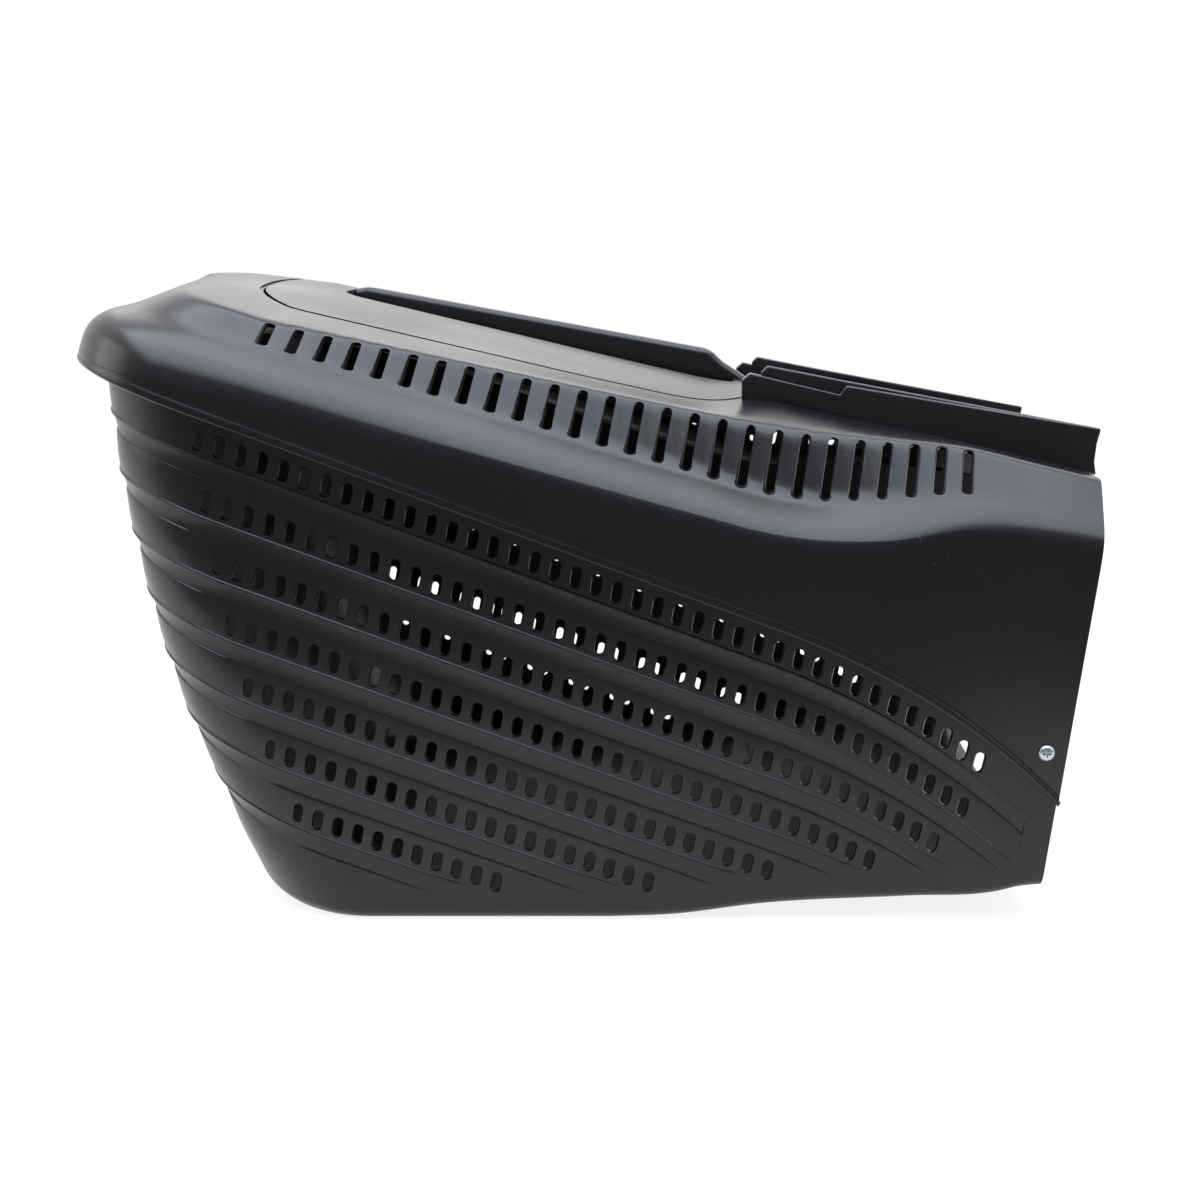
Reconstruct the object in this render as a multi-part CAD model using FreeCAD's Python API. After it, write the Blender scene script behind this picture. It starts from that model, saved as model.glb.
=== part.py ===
"""Hard plastic grass box of a walk-behind mower.

Millimetres, +Z up. The box stands on its floor with its open mouth towards +X, and the origin is on the
floor plane under the middle of the box. It is the same on both sides of the plane Y = 0.
"""
import FreeCAD
import Part
import math
import os

Vector = FreeCAD.Vector

# Overall sizes
LENGTH = 610.0           # rear brim to the ends of the rails
HEIGHT = 388.5           # top of the crown at its rear edge
FLOOR_WIDTH = 376.0      # tub across its side walls, at the floor
WALL = 3.0               # both mouldings
BACK_X = -LENGTH / 2.0
MOUTH_X = LENGTH / 2.0

# Tub
SIDE_DRAFT_DEG = 1.5     # the side walls open upwards
REAR_HEIGHTS = (0.0, 120.0, 260.0, 345.0)    # the rear wall leans out less and less towards its top
REAR_SETBACKS = (92.0, 42.5, 14.0, 10.0)     # in from the brim at those heights
TUB_CORNER_R = 75.0
CORNER_FACETS = 4        # flat facets that make a round corner in plan
FLOOR_EDGE_R = 25.0
FLOOR_EDGE_FACETS = 3
FLAT_END_X = MOUTH_X - 285.0     # the floor is flat up to here, then rises to the mouth
RAMP_RISE = ((0.0, 0.0), (75.0, 9.0), (235.0, 17.0), (242.0, 21.0), (320.0, 22.0))

# Mouth: a leaning rim that stands upright at the top
MOUTH_FOOT_X = MOUTH_X - 43.0
MOUTH_LEAN_DEG = 6.7
MOUTH_UPRIGHT_Z = 236.0

# Seam: the lower edge of the cover, straight from the rear and then bending down to the mouth
SEAM_REAR_Z = 338.0
SEAM_SLOPE_DEG = 20.56
SEAM_BEND_X = MOUTH_X - 205.0
SEAM_BEND_R = 466.0
SEAM_BEND_DEG = 45.0

# Slots in the side walls, in rows that follow the seam
ROWS = 7
FIRST_ROW_DROP = 16.0    # seam down to the middle of the first row
ROW_SPACING = 34.5
SLOT_PITCH = 12.5
SLOT_LENGTH = 11.4
SLOT_WIDTH = 5.2
SLOT_LEAN_DEG = 12.0
ROW_REAR_MARGIN = (71.0, 64.0)   # first slot in from the rear wall, top row and bottom row
ROW_MOUTH_MARGIN = (44.0, 104.0) # last slot in from the mouth, top row and bottom row
ROW_FLOOR_MARGIN = 22.0

# Recessed bands under the rows
BAND_DROP = 10.5         # middle of a row down to its band
BAND_HEIGHT = 11.0
BAND_DEPTH = 1.3
BAND_FLOOR_MARGIN = 40.0
BAND_MOUTH_MARGIN = 22.0

# Cover
LAP_GAP = 0.5            # cover to tub at the mouth
SEAT_GAP = 0.2           # rim of the tub to the underside of the cover
BRIM_OVERHANG = 15.0     # brim out past the sides of the mouth
COVER_CORNER_R = 80.0
CROWN_CORNER_R = 34.0
REAR_STATION_X = BACK_X + 115.0  # heights are given at these places along the box
BLEND_START_X = MOUTH_X - 195.0  # the brim runs into the sides of the mouth between these two
BLEND_END_X = MOUTH_X - 88.0
MOUTH_STATION_X = MOUTH_X - 5.0
CROWN_FALL = (0.0, 6.5, 77.0, 102.1, 121.6)  # at the rear edge, then at the four stations

# Lines along the cover: in from the brim at the sides, at the mouth and at the rear, then the drop below the
# crown at its rear edge and at the four stations
COVER_LINES = (
    (0.0, 0.0, 0.0, (46.5, 69.0, 70.0, 36.4, 30.0)),        # side of the brim
    (5.5, 2.5, 5.5, (31.0, 55.5, 57.5, 33.2, 27.0)),        # shoulder of the brim
    (16.0, 5.5, 16.0, (23.5, 47.5, 52.0, 30.6, 24.6)),      # top of the brim
    (31.0, 9.0, 29.0, (20.0, 38.0, 55.5, 28.0, 22.0)),      # foot of the vent band
    (47.0, 34.0, 50.0, (7.0, 24.5, 17.5, 2.5, 2.5)),        # top of the vent band
    (97.0, 82.0, 55.0, (2.5, 16.5, 14.0, 1.4, 1.4)),        # shoulder of the crown
    (160.0, 145.0, 61.0, (0.0, 0.0, 0.0, 0.0, 0.0)),        # edge of the crown
)
VENT_FOOT_LINE = 3
VENT_TOP_LINE = 4
SKIRT_SETBACK = 4.0      # foot of the skirt in from the brim

# Vents
VENTS = 26
FIRST_VENT_X = BACK_X + 118.0
LAST_VENT_X = BLEND_END_X - 3.0
VENT_WIDTH = 4.8
VENT_LEAN_DEG = 10.0
VENT_MARGIN = 2.0        # ends of a vent in from the edges of its band

# Rails on the top, from behind the panel out to the mouth
RAIL_Y = 113.0
RAIL_WIDTH = 14.0
RAIL_START_X = MOUTH_X - 221.0
RAIL_STEP_X = MOUTH_X - 157.0
RAIL_START_HEIGHT = 8.0  # above the crown, at the start
RAIL_STEP_LOW = 10.0     # just behind the step
RAIL_STEP_HIGH = 15.5    # just past the step
RAIL_END_HEIGHT = 26.0
RAIL_CHAMFER = 4.0
RAIL_ROOT = 24.0         # its foot below the crown, where it runs into the shoulder

# Handle panel, let into the crown
PANEL_WIDTH = 236.0
PANEL_REAR_X = BACK_X + 93.0
PANEL_FRONT_X = MOUTH_X - 207.0
PANEL_CORNER_R = 32.0
PANEL_GAP = 1.5          # groove all round
POCKET_DEPTH = 26.0      # crown down to the floor that the panel stands on
TROUGH_WIDTH = 96.0
TROUGH_REAR_X = PANEL_REAR_X + 36.0
TROUGH_FRONT_X = PANEL_FRONT_X - 18.0
TROUGH_CORNER_R = 14.0
GRIP_WIDTH = 26.0
GRIP_EDGE = 5.0          # chamfer along its top
GRIP_REAR_HEIGHT = 0.5   # top of the grip above the crown
GRIP_FRONT_HEIGHT = 16.0
GRIP_END_CHAMFER = 10.0

# Screws
SCREW_D = 4.0
SCREW_HOLE_GAP = 0.2     # on the diameter
HEAD_D = 10.0
HEAD_HEIGHT = 3.0
ROUND_FACETS = 8         # sides of the screws and of their holes
SCREW_LENGTH = 13.0
BOSS_D = 10.0
BOSS_LENGTH = 11.0
MOUTH_SCREW_Z = 108.0
MOUTH_SCREW_SETBACK = 12.5
HANDLE_SCREW_Y = 80.0
HANDLE_SCREW_INSET = 50.0        # from the ends of the panel

# Room that cutting bodies reach past the box
PAST = 60.0
FAR = LENGTH + 2.0 * PAST
SKY = HEIGHT + 2.0 * PAST
FLAT_TWIST = 1e-7         # four corners this close to one plane make a flat face


def along(stations, values, x):
    """Value at x on a line through the stations, carried on straight past its ends."""
    last = len(stations) - 2
    index = 0
    while index < last and x > stations[index + 1]:
        index += 1
    share = (x - stations[index]) / (stations[index + 1] - stations[index])
    return values[index] + share * (values[index + 1] - values[index])


def slab(points):
    """Outline in X and Z, carried right across the box."""
    corners = [Vector(x, -FAR / 2.0, z) for x, z in points]
    face = Part.Face(Part.makePolygon(corners + corners[:1]))
    return face.extrude(Vector(0, FAR, 0))


def patch(points):
    return Part.Face(Part.makePolygon(points + points[:1]))


def between(p0, p1, q1, q0):
    """Flat face on four corners, or two where they don't lie in one plane."""
    twist = (p1 - p0).cross(q0 - p0).dot(q1 - p0)
    if abs(twist) < FLAT_TWIST * (p1 - p0).Length * (q0 - p0).Length:
        return [patch([p0, p1, q1, q0])]
    return [patch([p0, p1, q1]), patch([p0, q1, q0])]


def skinned(outlines):
    """Solid between matching closed outlines of points, joined by straight lines."""
    faces = [patch(outlines[0]), patch(outlines[-1])]
    for low, high in zip(outlines, outlines[1:]):
        for index in range(len(low)):
            after = (index + 1) % len(low)
            faces += between(low[index], low[after], high[after], high[index])
    shell = Part.makeShell(faces)
    shell.sewShape()
    solid = Part.makeSolid(shell)
    if solid.Volume < 0.0:
        solid.reverse()
    return solid


def across(x, side):
    """Outline across the box from its near side: distances from the middle and heights."""
    return [Vector(x, -y, z) for y, z in side] + [Vector(x, y, z) for y, z in reversed(side)]


def rounded_rear(front, back, half, radius):
    """Plan outline with a straight front and two faceted rear corners, from the near front corner."""
    near = [(front, -half)]
    for step in range(CORNER_FACETS + 1):
        turn = math.radians(90.0 * step / CORNER_FACETS)
        near.append((back + radius * (1.0 - math.sin(turn)), -half + radius * (1.0 - math.cos(turn))))
    return near + [(x, -y) for x, y in reversed(near)]


def plan_prism(x0, x1, width, radius):
    """Upright prism on a rectangle with faceted corners, from the floor up past the top of the box."""
    half = width / 2.0
    rear = rounded_rear((x0 + x1) / 2.0, x0, half, radius)
    front = rounded_rear(-(x0 + x1) / 2.0, -x1, half, radius)
    outline = rear[1:-1] + [(-x, -y) for x, y in front[1:-1]]
    return patch([Vector(x, y, 0) for x, y in outline]).extrude(Vector(0, 0, SKY))


def round_bar(radius, length, start, way):
    """Bar of many sides about an axis, for the screws, their holes and their bosses."""
    across_way = way.cross(Vector(1, 0, 0)).normalize() * radius
    up_way = way.cross(across_way)
    rim = []
    for step in range(ROUND_FACETS):
        turn = 2.0 * math.pi * step / ROUND_FACETS
        rim.append(start + across_way * math.cos(turn) + up_way * math.sin(turn))
    return patch(rim).extrude(way * length)


def mirrored(shape):
    return shape.mirror(Vector(0, 0, 0), Vector(0, 1, 0))


# Tub


def tub_half(z):
    """Half the width of the tub at a height."""
    return FLOOR_WIDTH / 2.0 + z * math.tan(math.radians(SIDE_DRAFT_DEG))


def tub_back(z):
    """Rear wall of the tub at a height."""
    return BACK_X + along(REAR_HEIGHTS, REAR_SETBACKS, z)


def floor_edge(radius):
    """Steps of the rounded floor edge: in from the wall, and up from the floor."""
    turns = [math.radians(90.0 * step / FLOOR_EDGE_FACETS) for step in range(FLOOR_EDGE_FACETS + 1)]
    return [(radius * (1.0 - math.sin(turn)), radius * (1.0 - math.cos(turn))) for turn in turns]


def tub_ring(z, inset):
    """Plan outline of the rear of the tub, closed across the box where the flat floor ends."""
    plan = rounded_rear(FLAT_END_X, tub_back(z) + inset, tub_half(z) - inset, TUB_CORNER_R - inset)
    return [Vector(x, y, z) for x, y in plan]


def tub_section(x, floor, inset):
    """Outline of the tub across the box, from the floor up past the seam."""
    steps = floor_edge(FLOOR_EDGE_R - inset)
    side = [(tub_half(floor + inset + up) - inset - back, floor + inset + up) for back, up in steps]
    side.append((tub_half(SKY) - inset, SKY))
    return across(x, side)


def tub_form(inset):
    """Solid body of the tub, drawn in by an inset from its outer faces."""
    rings = [tub_ring(inset + up, inset + back) for back, up in floor_edge(FLOOR_EDGE_R - inset)]
    rings += [tub_ring(z, inset) for z in REAR_HEIGHTS[1:-1] + (SKY,)]
    rear = skinned(rings)
    sections = [tub_section(FLAT_END_X + run, rise, inset) for run, rise in RAMP_RISE]
    front = skinned(sections)
    return rear.fuse(front).removeSplitter()


# Mouth and seam


def mouth_x(z):
    return MOUTH_FOOT_X + z * math.tan(math.radians(MOUTH_LEAN_DEG))


def past_mouth():
    """Everything in front of the mouth."""
    return slab([
        (mouth_x(-PAST), -PAST),
        (mouth_x(MOUTH_UPRIGHT_Z), MOUTH_UPRIGHT_Z),
        (mouth_x(MOUTH_UPRIGHT_Z), SKY + PAST),
        (MOUTH_X + 2.0 * PAST, SKY + PAST),
        (MOUTH_X + 2.0 * PAST, -PAST),
    ])


def seam_point(run, drop):
    """Point of the seam at a length along it from the rear brim, lowered by a drop."""
    slope = math.radians(SEAM_SLOPE_DEG)
    straight = (SEAM_BEND_X - BACK_X) / math.cos(slope)
    flat = min(run, straight)
    turn = slope + max(run - straight, 0.0) / SEAM_BEND_R
    x = BACK_X + flat * math.cos(slope) + SEAM_BEND_R * (math.sin(turn) - math.sin(slope))
    z = SEAM_REAR_Z - flat * math.sin(slope) + SEAM_BEND_R * (math.cos(turn) - math.cos(slope))
    return Vector(x, 0, z - drop)


def seam_edges(drop):
    """Seam curve, lowered by a drop, from behind the box to past the mouth."""
    straight = (SEAM_BEND_X - BACK_X) / math.cos(math.radians(SEAM_SLOPE_DEG))
    bend = math.radians(SEAM_BEND_DEG) * SEAM_BEND_R
    start = seam_point(-PAST, drop)
    knee = seam_point(straight, drop)
    middle = seam_point(straight + bend / 2.0, drop)
    end = seam_point(straight + bend, drop)
    return [Part.LineSegment(start, knee).toShape(), Part.Arc(knee, middle, end).toShape()], start, end


def seam_strip(top_drop, bottom_drop):
    """Band between two lowered copies of the seam, carried right across the box."""
    top, top_start, top_end = seam_edges(top_drop)
    bottom, bottom_start, bottom_end = seam_edges(bottom_drop)
    ends = [Part.LineSegment(top_end, bottom_end).toShape(), Part.LineSegment(top_start, bottom_start).toShape()]
    wire = Part.Wire(Part.__sortEdges__(top + bottom + ends))
    strip = Part.Face(wire).extrude(Vector(0, FAR, 0))
    strip.translate(Vector(0, -FAR / 2.0, 0))
    return strip


# Cover


def drawn_in(points, inset):
    """Open outline moved towards its inner side by an inset, with mitred corners."""
    normals = []
    for (a, b), (c, d) in zip(points, points[1:]):
        length = math.hypot(c - a, d - b)
        normals.append(((b - d) / length, (c - a) / length))
    normals = [normals[0]] + normals + [(0.0, -1.0)]
    moved = []
    for point, before, after in zip(points, normals, normals[1:]):
        share = inset / (1.0 + before[0] * after[0] + before[1] * after[1])
        moved.append((point[0] + share * (before[0] + after[0]), point[1] + share * (before[1] + after[1])))
    return moved


STATIONS = (REAR_STATION_X, BLEND_START_X, BLEND_END_X, MOUTH_STATION_X)


def crown_z(station):
    """Height of the crown: at its rear edge for 0, then at the four stations."""
    return HEIGHT - CROWN_FALL[station]


def crown_at(x):
    return along(STATIONS, [crown_z(index) for index in range(1, 5)], x)


def line_at(line, x):
    """Height of one of the lines along the cover."""
    drops = COVER_LINES[line][3]
    return along(STATIONS, [crown_z(index) - drops[index] for index in range(1, 5)], x)


def mouth_half(z):
    """Half the width of the cover at the mouth, where it laps the tub."""
    return tub_half(z) + LAP_GAP + WALL


def cover_foot():
    """Plane that the cover is drawn down to before its lower edge is cut."""
    return seam_point(LENGTH, 0.0).z - PAST


def side_half(station, z):
    """Outermost half width: the brim behind, the sides of the mouth in front."""
    overhang = BRIM_OVERHANG if station < 3 else 0.0
    return mouth_half(z) + overhang


def cover_side(station, inset):
    """Lines of the cover at a station as distances from the middle and heights, foot of the skirt first."""
    brim_z = crown_z(station) - COVER_LINES[0][3][station]
    half = side_half(station, brim_z)
    foot_half = half - SKIRT_SETBACK if station < 3 else mouth_half(cover_foot())
    points = [(foot_half, cover_foot())]
    for back_inset, mouth_inset, _, drops in COVER_LINES:
        in_by = back_inset if station < 3 else mouth_inset
        points.append((half - in_by, crown_z(station) - drops[station]))
    moved = drawn_in(points, inset)
    return [(moved[0][0], cover_foot())] + moved[1:]


def cover_rear(inset):
    """Rear ends of the same lines, as distances behind the origin and heights."""
    points = [(-BACK_X - SKIRT_SETBACK, cover_foot())]
    points += [(-BACK_X - rear_inset, crown_z(0) - drops[0]) for _, _, rear_inset, drops in COVER_LINES]
    moved = drawn_in(points, inset)
    return [(moved[0][0], cover_foot())] + moved[1:]


def cover_ring(half, side_z, back, back_z, radius):
    """Outline of the rear of the cover on a sloping plane, closed across the box at the rear station."""
    slope = (back_z - side_z) / (-back - REAR_STATION_X)
    plan = rounded_rear(REAR_STATION_X, -back, half, radius)
    return [Vector(x, y, side_z + slope * (x - REAR_STATION_X)) for x, y in plan]


def cover_form(inset):
    """Solid body of the cover, drawn in by an inset from its outer faces."""
    side = cover_side(1, inset)
    rear = cover_rear(inset)
    last = len(side) - 1
    rings = []
    for index in range(len(side)):
        radius = COVER_CORNER_R + (CROWN_CORNER_R - COVER_CORNER_R) * max(index - 1, 0) / (last - 1)
        rings.append(cover_ring(*side[index], *rear[index], radius - inset))
    back = skinned(rings)
    front_x = MOUTH_X + PAST
    share = (front_x - BLEND_END_X) / (MOUTH_STATION_X - BLEND_END_X)
    blend_end = cover_side(3, inset)
    mouth = cover_side(4, inset)
    far = [(a + share * (c - a), b + share * (d - b)) for (a, b), (c, d) in zip(blend_end, mouth)]
    sections = [across(STATIONS[index], cover_side(index + 1, inset)) for index in range(3)]
    front = skinned(sections + [across(front_x, far)])
    return back.fuse(front).removeSplitter()


def rail(inset):
    """One rail, or the hollow inside it when drawn in by an inset."""
    start = RAIL_START_X + inset
    step = RAIL_STEP_X + inset
    end = MOUTH_X - inset

    def top(x, height):
        return (x, crown_at(x) + height - inset)

    outline = [
        top(start, -RAIL_ROOT),
        top(start, RAIL_START_HEIGHT - RAIL_CHAMFER),
        top(start + RAIL_CHAMFER, RAIL_START_HEIGHT),
        top(step - RAIL_CHAMFER / 2.0, RAIL_STEP_LOW),
        top(step, RAIL_STEP_HIGH),
        top(end, RAIL_END_HEIGHT),
        top(end, -RAIL_ROOT),
    ]
    half = RAIL_WIDTH / 2.0 - inset
    corners = [Vector(x, RAIL_Y - half, z) for x, z in outline]
    face = Part.Face(Part.makePolygon(corners + corners[:1]))
    return face.extrude(Vector(0, 2.0 * half, 0))


def vents():
    """Leaning slots through the vent band of the near side."""
    lean = math.tan(math.radians(VENT_LEAN_DEG))
    slots = []
    for index in range(VENTS):
        x = FIRST_VENT_X + (LAST_VENT_X - FIRST_VENT_X) * index / (VENTS - 1)
        low = line_at(VENT_FOOT_LINE, x) + VENT_MARGIN
        high = line_at(VENT_TOP_LINE, x) - VENT_MARGIN
        sides = [cover_side(station, 0.0) for station in range(1, 5)]
        foot_y = along(STATIONS, [side[VENT_FOOT_LINE + 1][0] for side in sides], x)
        top_y = along(STATIONS, [side[VENT_TOP_LINE + 1][0] for side in sides], x)
        skew = lean * (high - low) / 2.0
        half = VENT_WIDTH / 2.0
        start_y = -foot_y - WALL
        corners = [
            Vector(x - skew - half, start_y, low),
            Vector(x - skew + half, start_y, low),
            Vector(x + skew + half, start_y, high),
            Vector(x + skew - half, start_y, high),
        ]
        face = Part.Face(Part.makePolygon(corners + corners[:1]))
        slots.append(face.extrude(Vector(0, foot_y - top_y + 4.0 * WALL, 0)))
    return slots


# Handle panel and its pocket


def pocket_line(x, above=0.0):
    """Height of the floor of the pocket: a plane under the straight run of the crown."""
    stations = STATIONS[:2]
    return along(stations, [crown_z(1), crown_z(2)], x) - POCKET_DEPTH + above


def under_pocket(above=0.0):
    """Everything below the floor of the pocket."""
    left = BACK_X - PAST
    right = MOUTH_X + PAST
    return slab([
        (left, -PAST),
        (left, pocket_line(left, above)),
        (right, pocket_line(right, above)),
        (right, -PAST),
    ])


def panel_prism(grow, above=0.0):
    """Upright prism on the outline of the panel, from the floor of its pocket."""
    x0 = PANEL_REAR_X - grow
    x1 = PANEL_FRONT_X + grow
    prism = plan_prism(x0, x1, PANEL_WIDTH + 2.0 * grow, PANEL_CORNER_R + grow)
    return prism.cut(under_pocket(above))


def trough_prism(grow, above):
    x0 = TROUGH_REAR_X - grow
    x1 = TROUGH_FRONT_X + grow
    prism = plan_prism(x0, x1, TROUGH_WIDTH + 2.0 * grow, TROUGH_CORNER_R + grow)
    return prism.cut(under_pocket(above))


def grip():
    """Grip bar along the middle of the panel, chamfered along its top."""
    x0 = TROUGH_REAR_X - WALL
    x1 = TROUGH_FRONT_X + WALL
    top_rear = crown_at(x0) + GRIP_REAR_HEIGHT
    top_front = crown_at(x1) + GRIP_FRONT_HEIGHT
    outline = [
        (x0, pocket_line(x0)),
        (x0, top_rear - GRIP_REAR_HEIGHT),
        (x0 + GRIP_END_CHAMFER, top_rear),
        (x1 - GRIP_END_CHAMFER, top_front),
        (x1, top_front - GRIP_END_CHAMFER),
        (x1, pocket_line(x1)),
    ]
    corners = [Vector(x, -GRIP_WIDTH / 2.0, z) for x, z in outline]
    face = Part.Face(Part.makePolygon(corners + corners[:1]))
    bar = face.extrude(Vector(0, GRIP_WIDTH, 0))
    ridge = (corners[2] + corners[3]) / 2.0
    edges = [edge for edge in bar.Edges if abs(edge.CenterOfMass.z - ridge.z) < 0.1
             and abs(abs(edge.CenterOfMass.y) - GRIP_WIDTH / 2.0) < 0.1]
    return bar.makeChamfer(GRIP_EDGE, edges)


# Screws


def pocket_normal():
    slope = (pocket_line(BLEND_START_X) - pocket_line(REAR_STATION_X)) / (BLEND_START_X - REAR_STATION_X)
    return Vector(-slope, 0, 1).normalize()


def mouth_screw_place():
    """Seat of the head on the near side of the cover, and the way the screw goes in."""
    draft = math.radians(SIDE_DRAFT_DEG)
    seat = Vector(mouth_x(MOUTH_SCREW_Z) - MOUTH_SCREW_SETBACK, -mouth_half(MOUTH_SCREW_Z), MOUTH_SCREW_Z)
    return seat, Vector(0, math.cos(draft), math.sin(draft))


def handle_screw_places():
    """Seats of the heads under the pocket, and the way the screws go in."""
    normal = pocket_normal()
    places = []
    for x in (PANEL_REAR_X + HANDLE_SCREW_INSET, PANEL_FRONT_X - HANDLE_SCREW_INSET):
        for y in (-HANDLE_SCREW_Y, HANDLE_SCREW_Y):
            places.append((Vector(x, y, pocket_line(x)) - normal * WALL, normal))
    return places


def screw(seat, way):
    """Pan-head screw whose head sits at the seat and whose shank goes the given way."""
    head = round_bar(HEAD_D / 2.0, HEAD_HEIGHT, seat - way * HEAD_HEIGHT, way)
    return head.fuse(round_bar(SCREW_D / 2.0, SCREW_LENGTH, seat, way))


def screw_hole(seat, way):
    radius = (SCREW_D + SCREW_HOLE_GAP) / 2.0
    return round_bar(radius, SCREW_LENGTH + HEAD_HEIGHT, seat - way * HEAD_HEIGHT / 2.0, way)


# Slots and bands of the tub


def floor_z(x):
    """Height of the floor along the box."""
    return max(along([FLAT_END_X + run for run, _ in RAMP_RISE], [rise for _, rise in RAMP_RISE], x), 0.0)


def first_slot(drop, margin):
    """Run along the seam to the first slot of a row, which is a margin in from the rear wall."""
    slope = math.radians(SEAM_SLOPE_DEG)
    run = 0.0
    for _ in range(20):
        run = (tub_back(seam_point(run, drop).z) + margin - BACK_X) / math.cos(slope)
    return run


def row_slots(row):
    """Slots of one row in the near side: from the rear margin to the mouth or the floor."""
    drop = FIRST_ROW_DROP + ROW_SPACING * row
    rear_margin = along((0, ROWS - 1), ROW_REAR_MARGIN, row)
    mouth_margin = along((0, ROWS - 1), ROW_MOUTH_MARGIN, row)
    lean = math.radians(SLOT_LEAN_DEG)
    up = Vector(math.sin(lean), 0, math.cos(lean)) * (SLOT_LENGTH / 2.0)
    side = Vector(math.cos(lean), 0, -math.sin(lean)) * (SLOT_WIDTH / 2.0)
    slots = []
    run = first_slot(drop, rear_margin)
    middle = seam_point(run, drop)
    while middle.z > floor_z(middle.x) + ROW_FLOOR_MARGIN and middle.x < mouth_x(middle.z) - mouth_margin:
        middle.y = -tub_half(middle.z) - WALL
        slot = patch([middle - side - up, middle + side - up, middle + side + up, middle - side + up])
        slots.append(slot.extrude(Vector(0, 3.0 * WALL, 0)))
        run += SLOT_PITCH
        middle = seam_point(run, drop)
    return slots


def bands():
    """Recesses round the outside of the tub, one under each row of slots."""
    skin = tub_form(0.0).cut(tub_form(BAND_DEPTH))
    above_margin = slab([
        (BACK_X - PAST, BAND_FLOOR_MARGIN),
        (BACK_X - PAST, SKY),
        (mouth_x(SKY) - BAND_MOUTH_MARGIN, SKY),
        (mouth_x(BAND_FLOOR_MARGIN) - BAND_MOUTH_MARGIN, BAND_FLOOR_MARGIN),
    ])
    skin = skin.common(above_margin)
    cuts = []
    for row in range(ROWS):
        top = FIRST_ROW_DROP + ROW_SPACING * row + BAND_DROP
        cuts.append(skin.common(seam_strip(top, top + BAND_HEIGHT)))
    return cuts


# The pieces


def lower_tub():
    tub = tub_form(0.0).cut(tub_form(WALL))
    seat, way = mouth_screw_place()
    start = seat + way * (2.0 * WALL + LAP_GAP - WALL / 2.0)
    boss = round_bar(BOSS_D / 2.0, BOSS_LENGTH - WALL, start, way)
    tub = tub.fuse([boss, mirrored(boss)])
    hole = screw_hole(seat, way)
    roof = slab([
        (BACK_X - PAST, cover_foot()),
        (BACK_X - PAST, SKY + PAST),
        (MOUTH_X + PAST, SKY + PAST),
        (MOUTH_X + PAST, cover_foot()),
    ])
    roof = roof.cut(cover_form(WALL + SEAT_GAP))
    slots = [slot for row in range(ROWS) for slot in row_slots(row)]
    tub = tub.cut([past_mouth(), roof, hole, mirrored(hole)])
    tub = tub.cut(Part.makeCompound(slots))
    tub = tub.cut(Part.makeCompound([mirrored(slot) for slot in slots]))
    return tub.cut(Part.makeCompound(bands()))


def upper_cover():
    outer = cover_form(0.0)
    inner = cover_form(WALL)
    ribs = [rail(0.0), mirrored(rail(0.0))]
    hollows = [rail(WALL), mirrored(rail(WALL))]
    pocket_wall = panel_prism(PANEL_GAP + WALL, -WALL).common(outer)
    cover = outer.cut(past_mouth()).fuse(ribs).cut([inner] + hollows)
    cover = cover.fuse(pocket_wall).cut(panel_prism(PANEL_GAP))
    seat, way = mouth_screw_place()
    holes = [screw_hole(seat, way), mirrored(screw_hole(seat, way))]
    holes += [screw_hole(*place) for place in handle_screw_places()]
    below_seam = seam_strip(0.0, SKY)
    cover = cover.cut([below_seam] + holes)
    slots = vents()
    return cover.cut(Part.makeCompound(slots + [mirrored(slot) for slot in slots]))


def handle_panel():
    outer = cover_form(0.0)
    shell = panel_prism(0.0).common(outer).cut(panel_prism(-WALL, -WALL).common(cover_form(WALL)))
    well = trough_prism(WALL, 0.0).common(outer)
    bosses = []
    for seat, way in handle_screw_places():
        bosses.append(round_bar(BOSS_D / 2.0, POCKET_DEPTH, seat + way * WALL, way).common(outer))
    panel = shell.fuse([well] + bosses).cut(trough_prism(0.0, WALL)).fuse(grip())
    return panel.cut([screw_hole(*place) for place in handle_screw_places()]).removeSplitter()


def mouth_screws():
    near = screw(*mouth_screw_place())
    return Part.makeCompound([near, mirrored(near)])


def handle_screws():
    return Part.makeCompound([screw(*place) for place in handle_screw_places()])


def main():
    os.makedirs("parts", exist_ok=True)
    pieces = {
        "lower_tub": lower_tub(),
        "upper_cover": upper_cover(),
        "handle_panel": handle_panel(),
        "mouth_screws": mouth_screws(),
        "handle_screws": handle_screws(),
    }
    for name, shape in pieces.items():
        box = shape.BoundBox
        print(name, "solids", len(shape.Solids), "valid", shape.isValid(), "cm3", round(shape.Volume / 1000.0, 1),
              [round(value, 1) for value in (box.XMin, box.XMax, box.YMin, box.YMax, box.ZMin, box.ZMax)])
        shape.exportStep("parts/" + name + ".step")


main()
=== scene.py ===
# %% [markdown]
# A mower's hard grass box, dressed for the camera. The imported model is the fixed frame: it says where each
# moulding is and how large it is. Every piece below is built in that frame, in metres, and stands in for one
# node of it. The order is: frame, shared shapes, tub, cover, panel, screws, finishes, light and camera.

# %% Load the frame
import math

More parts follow.
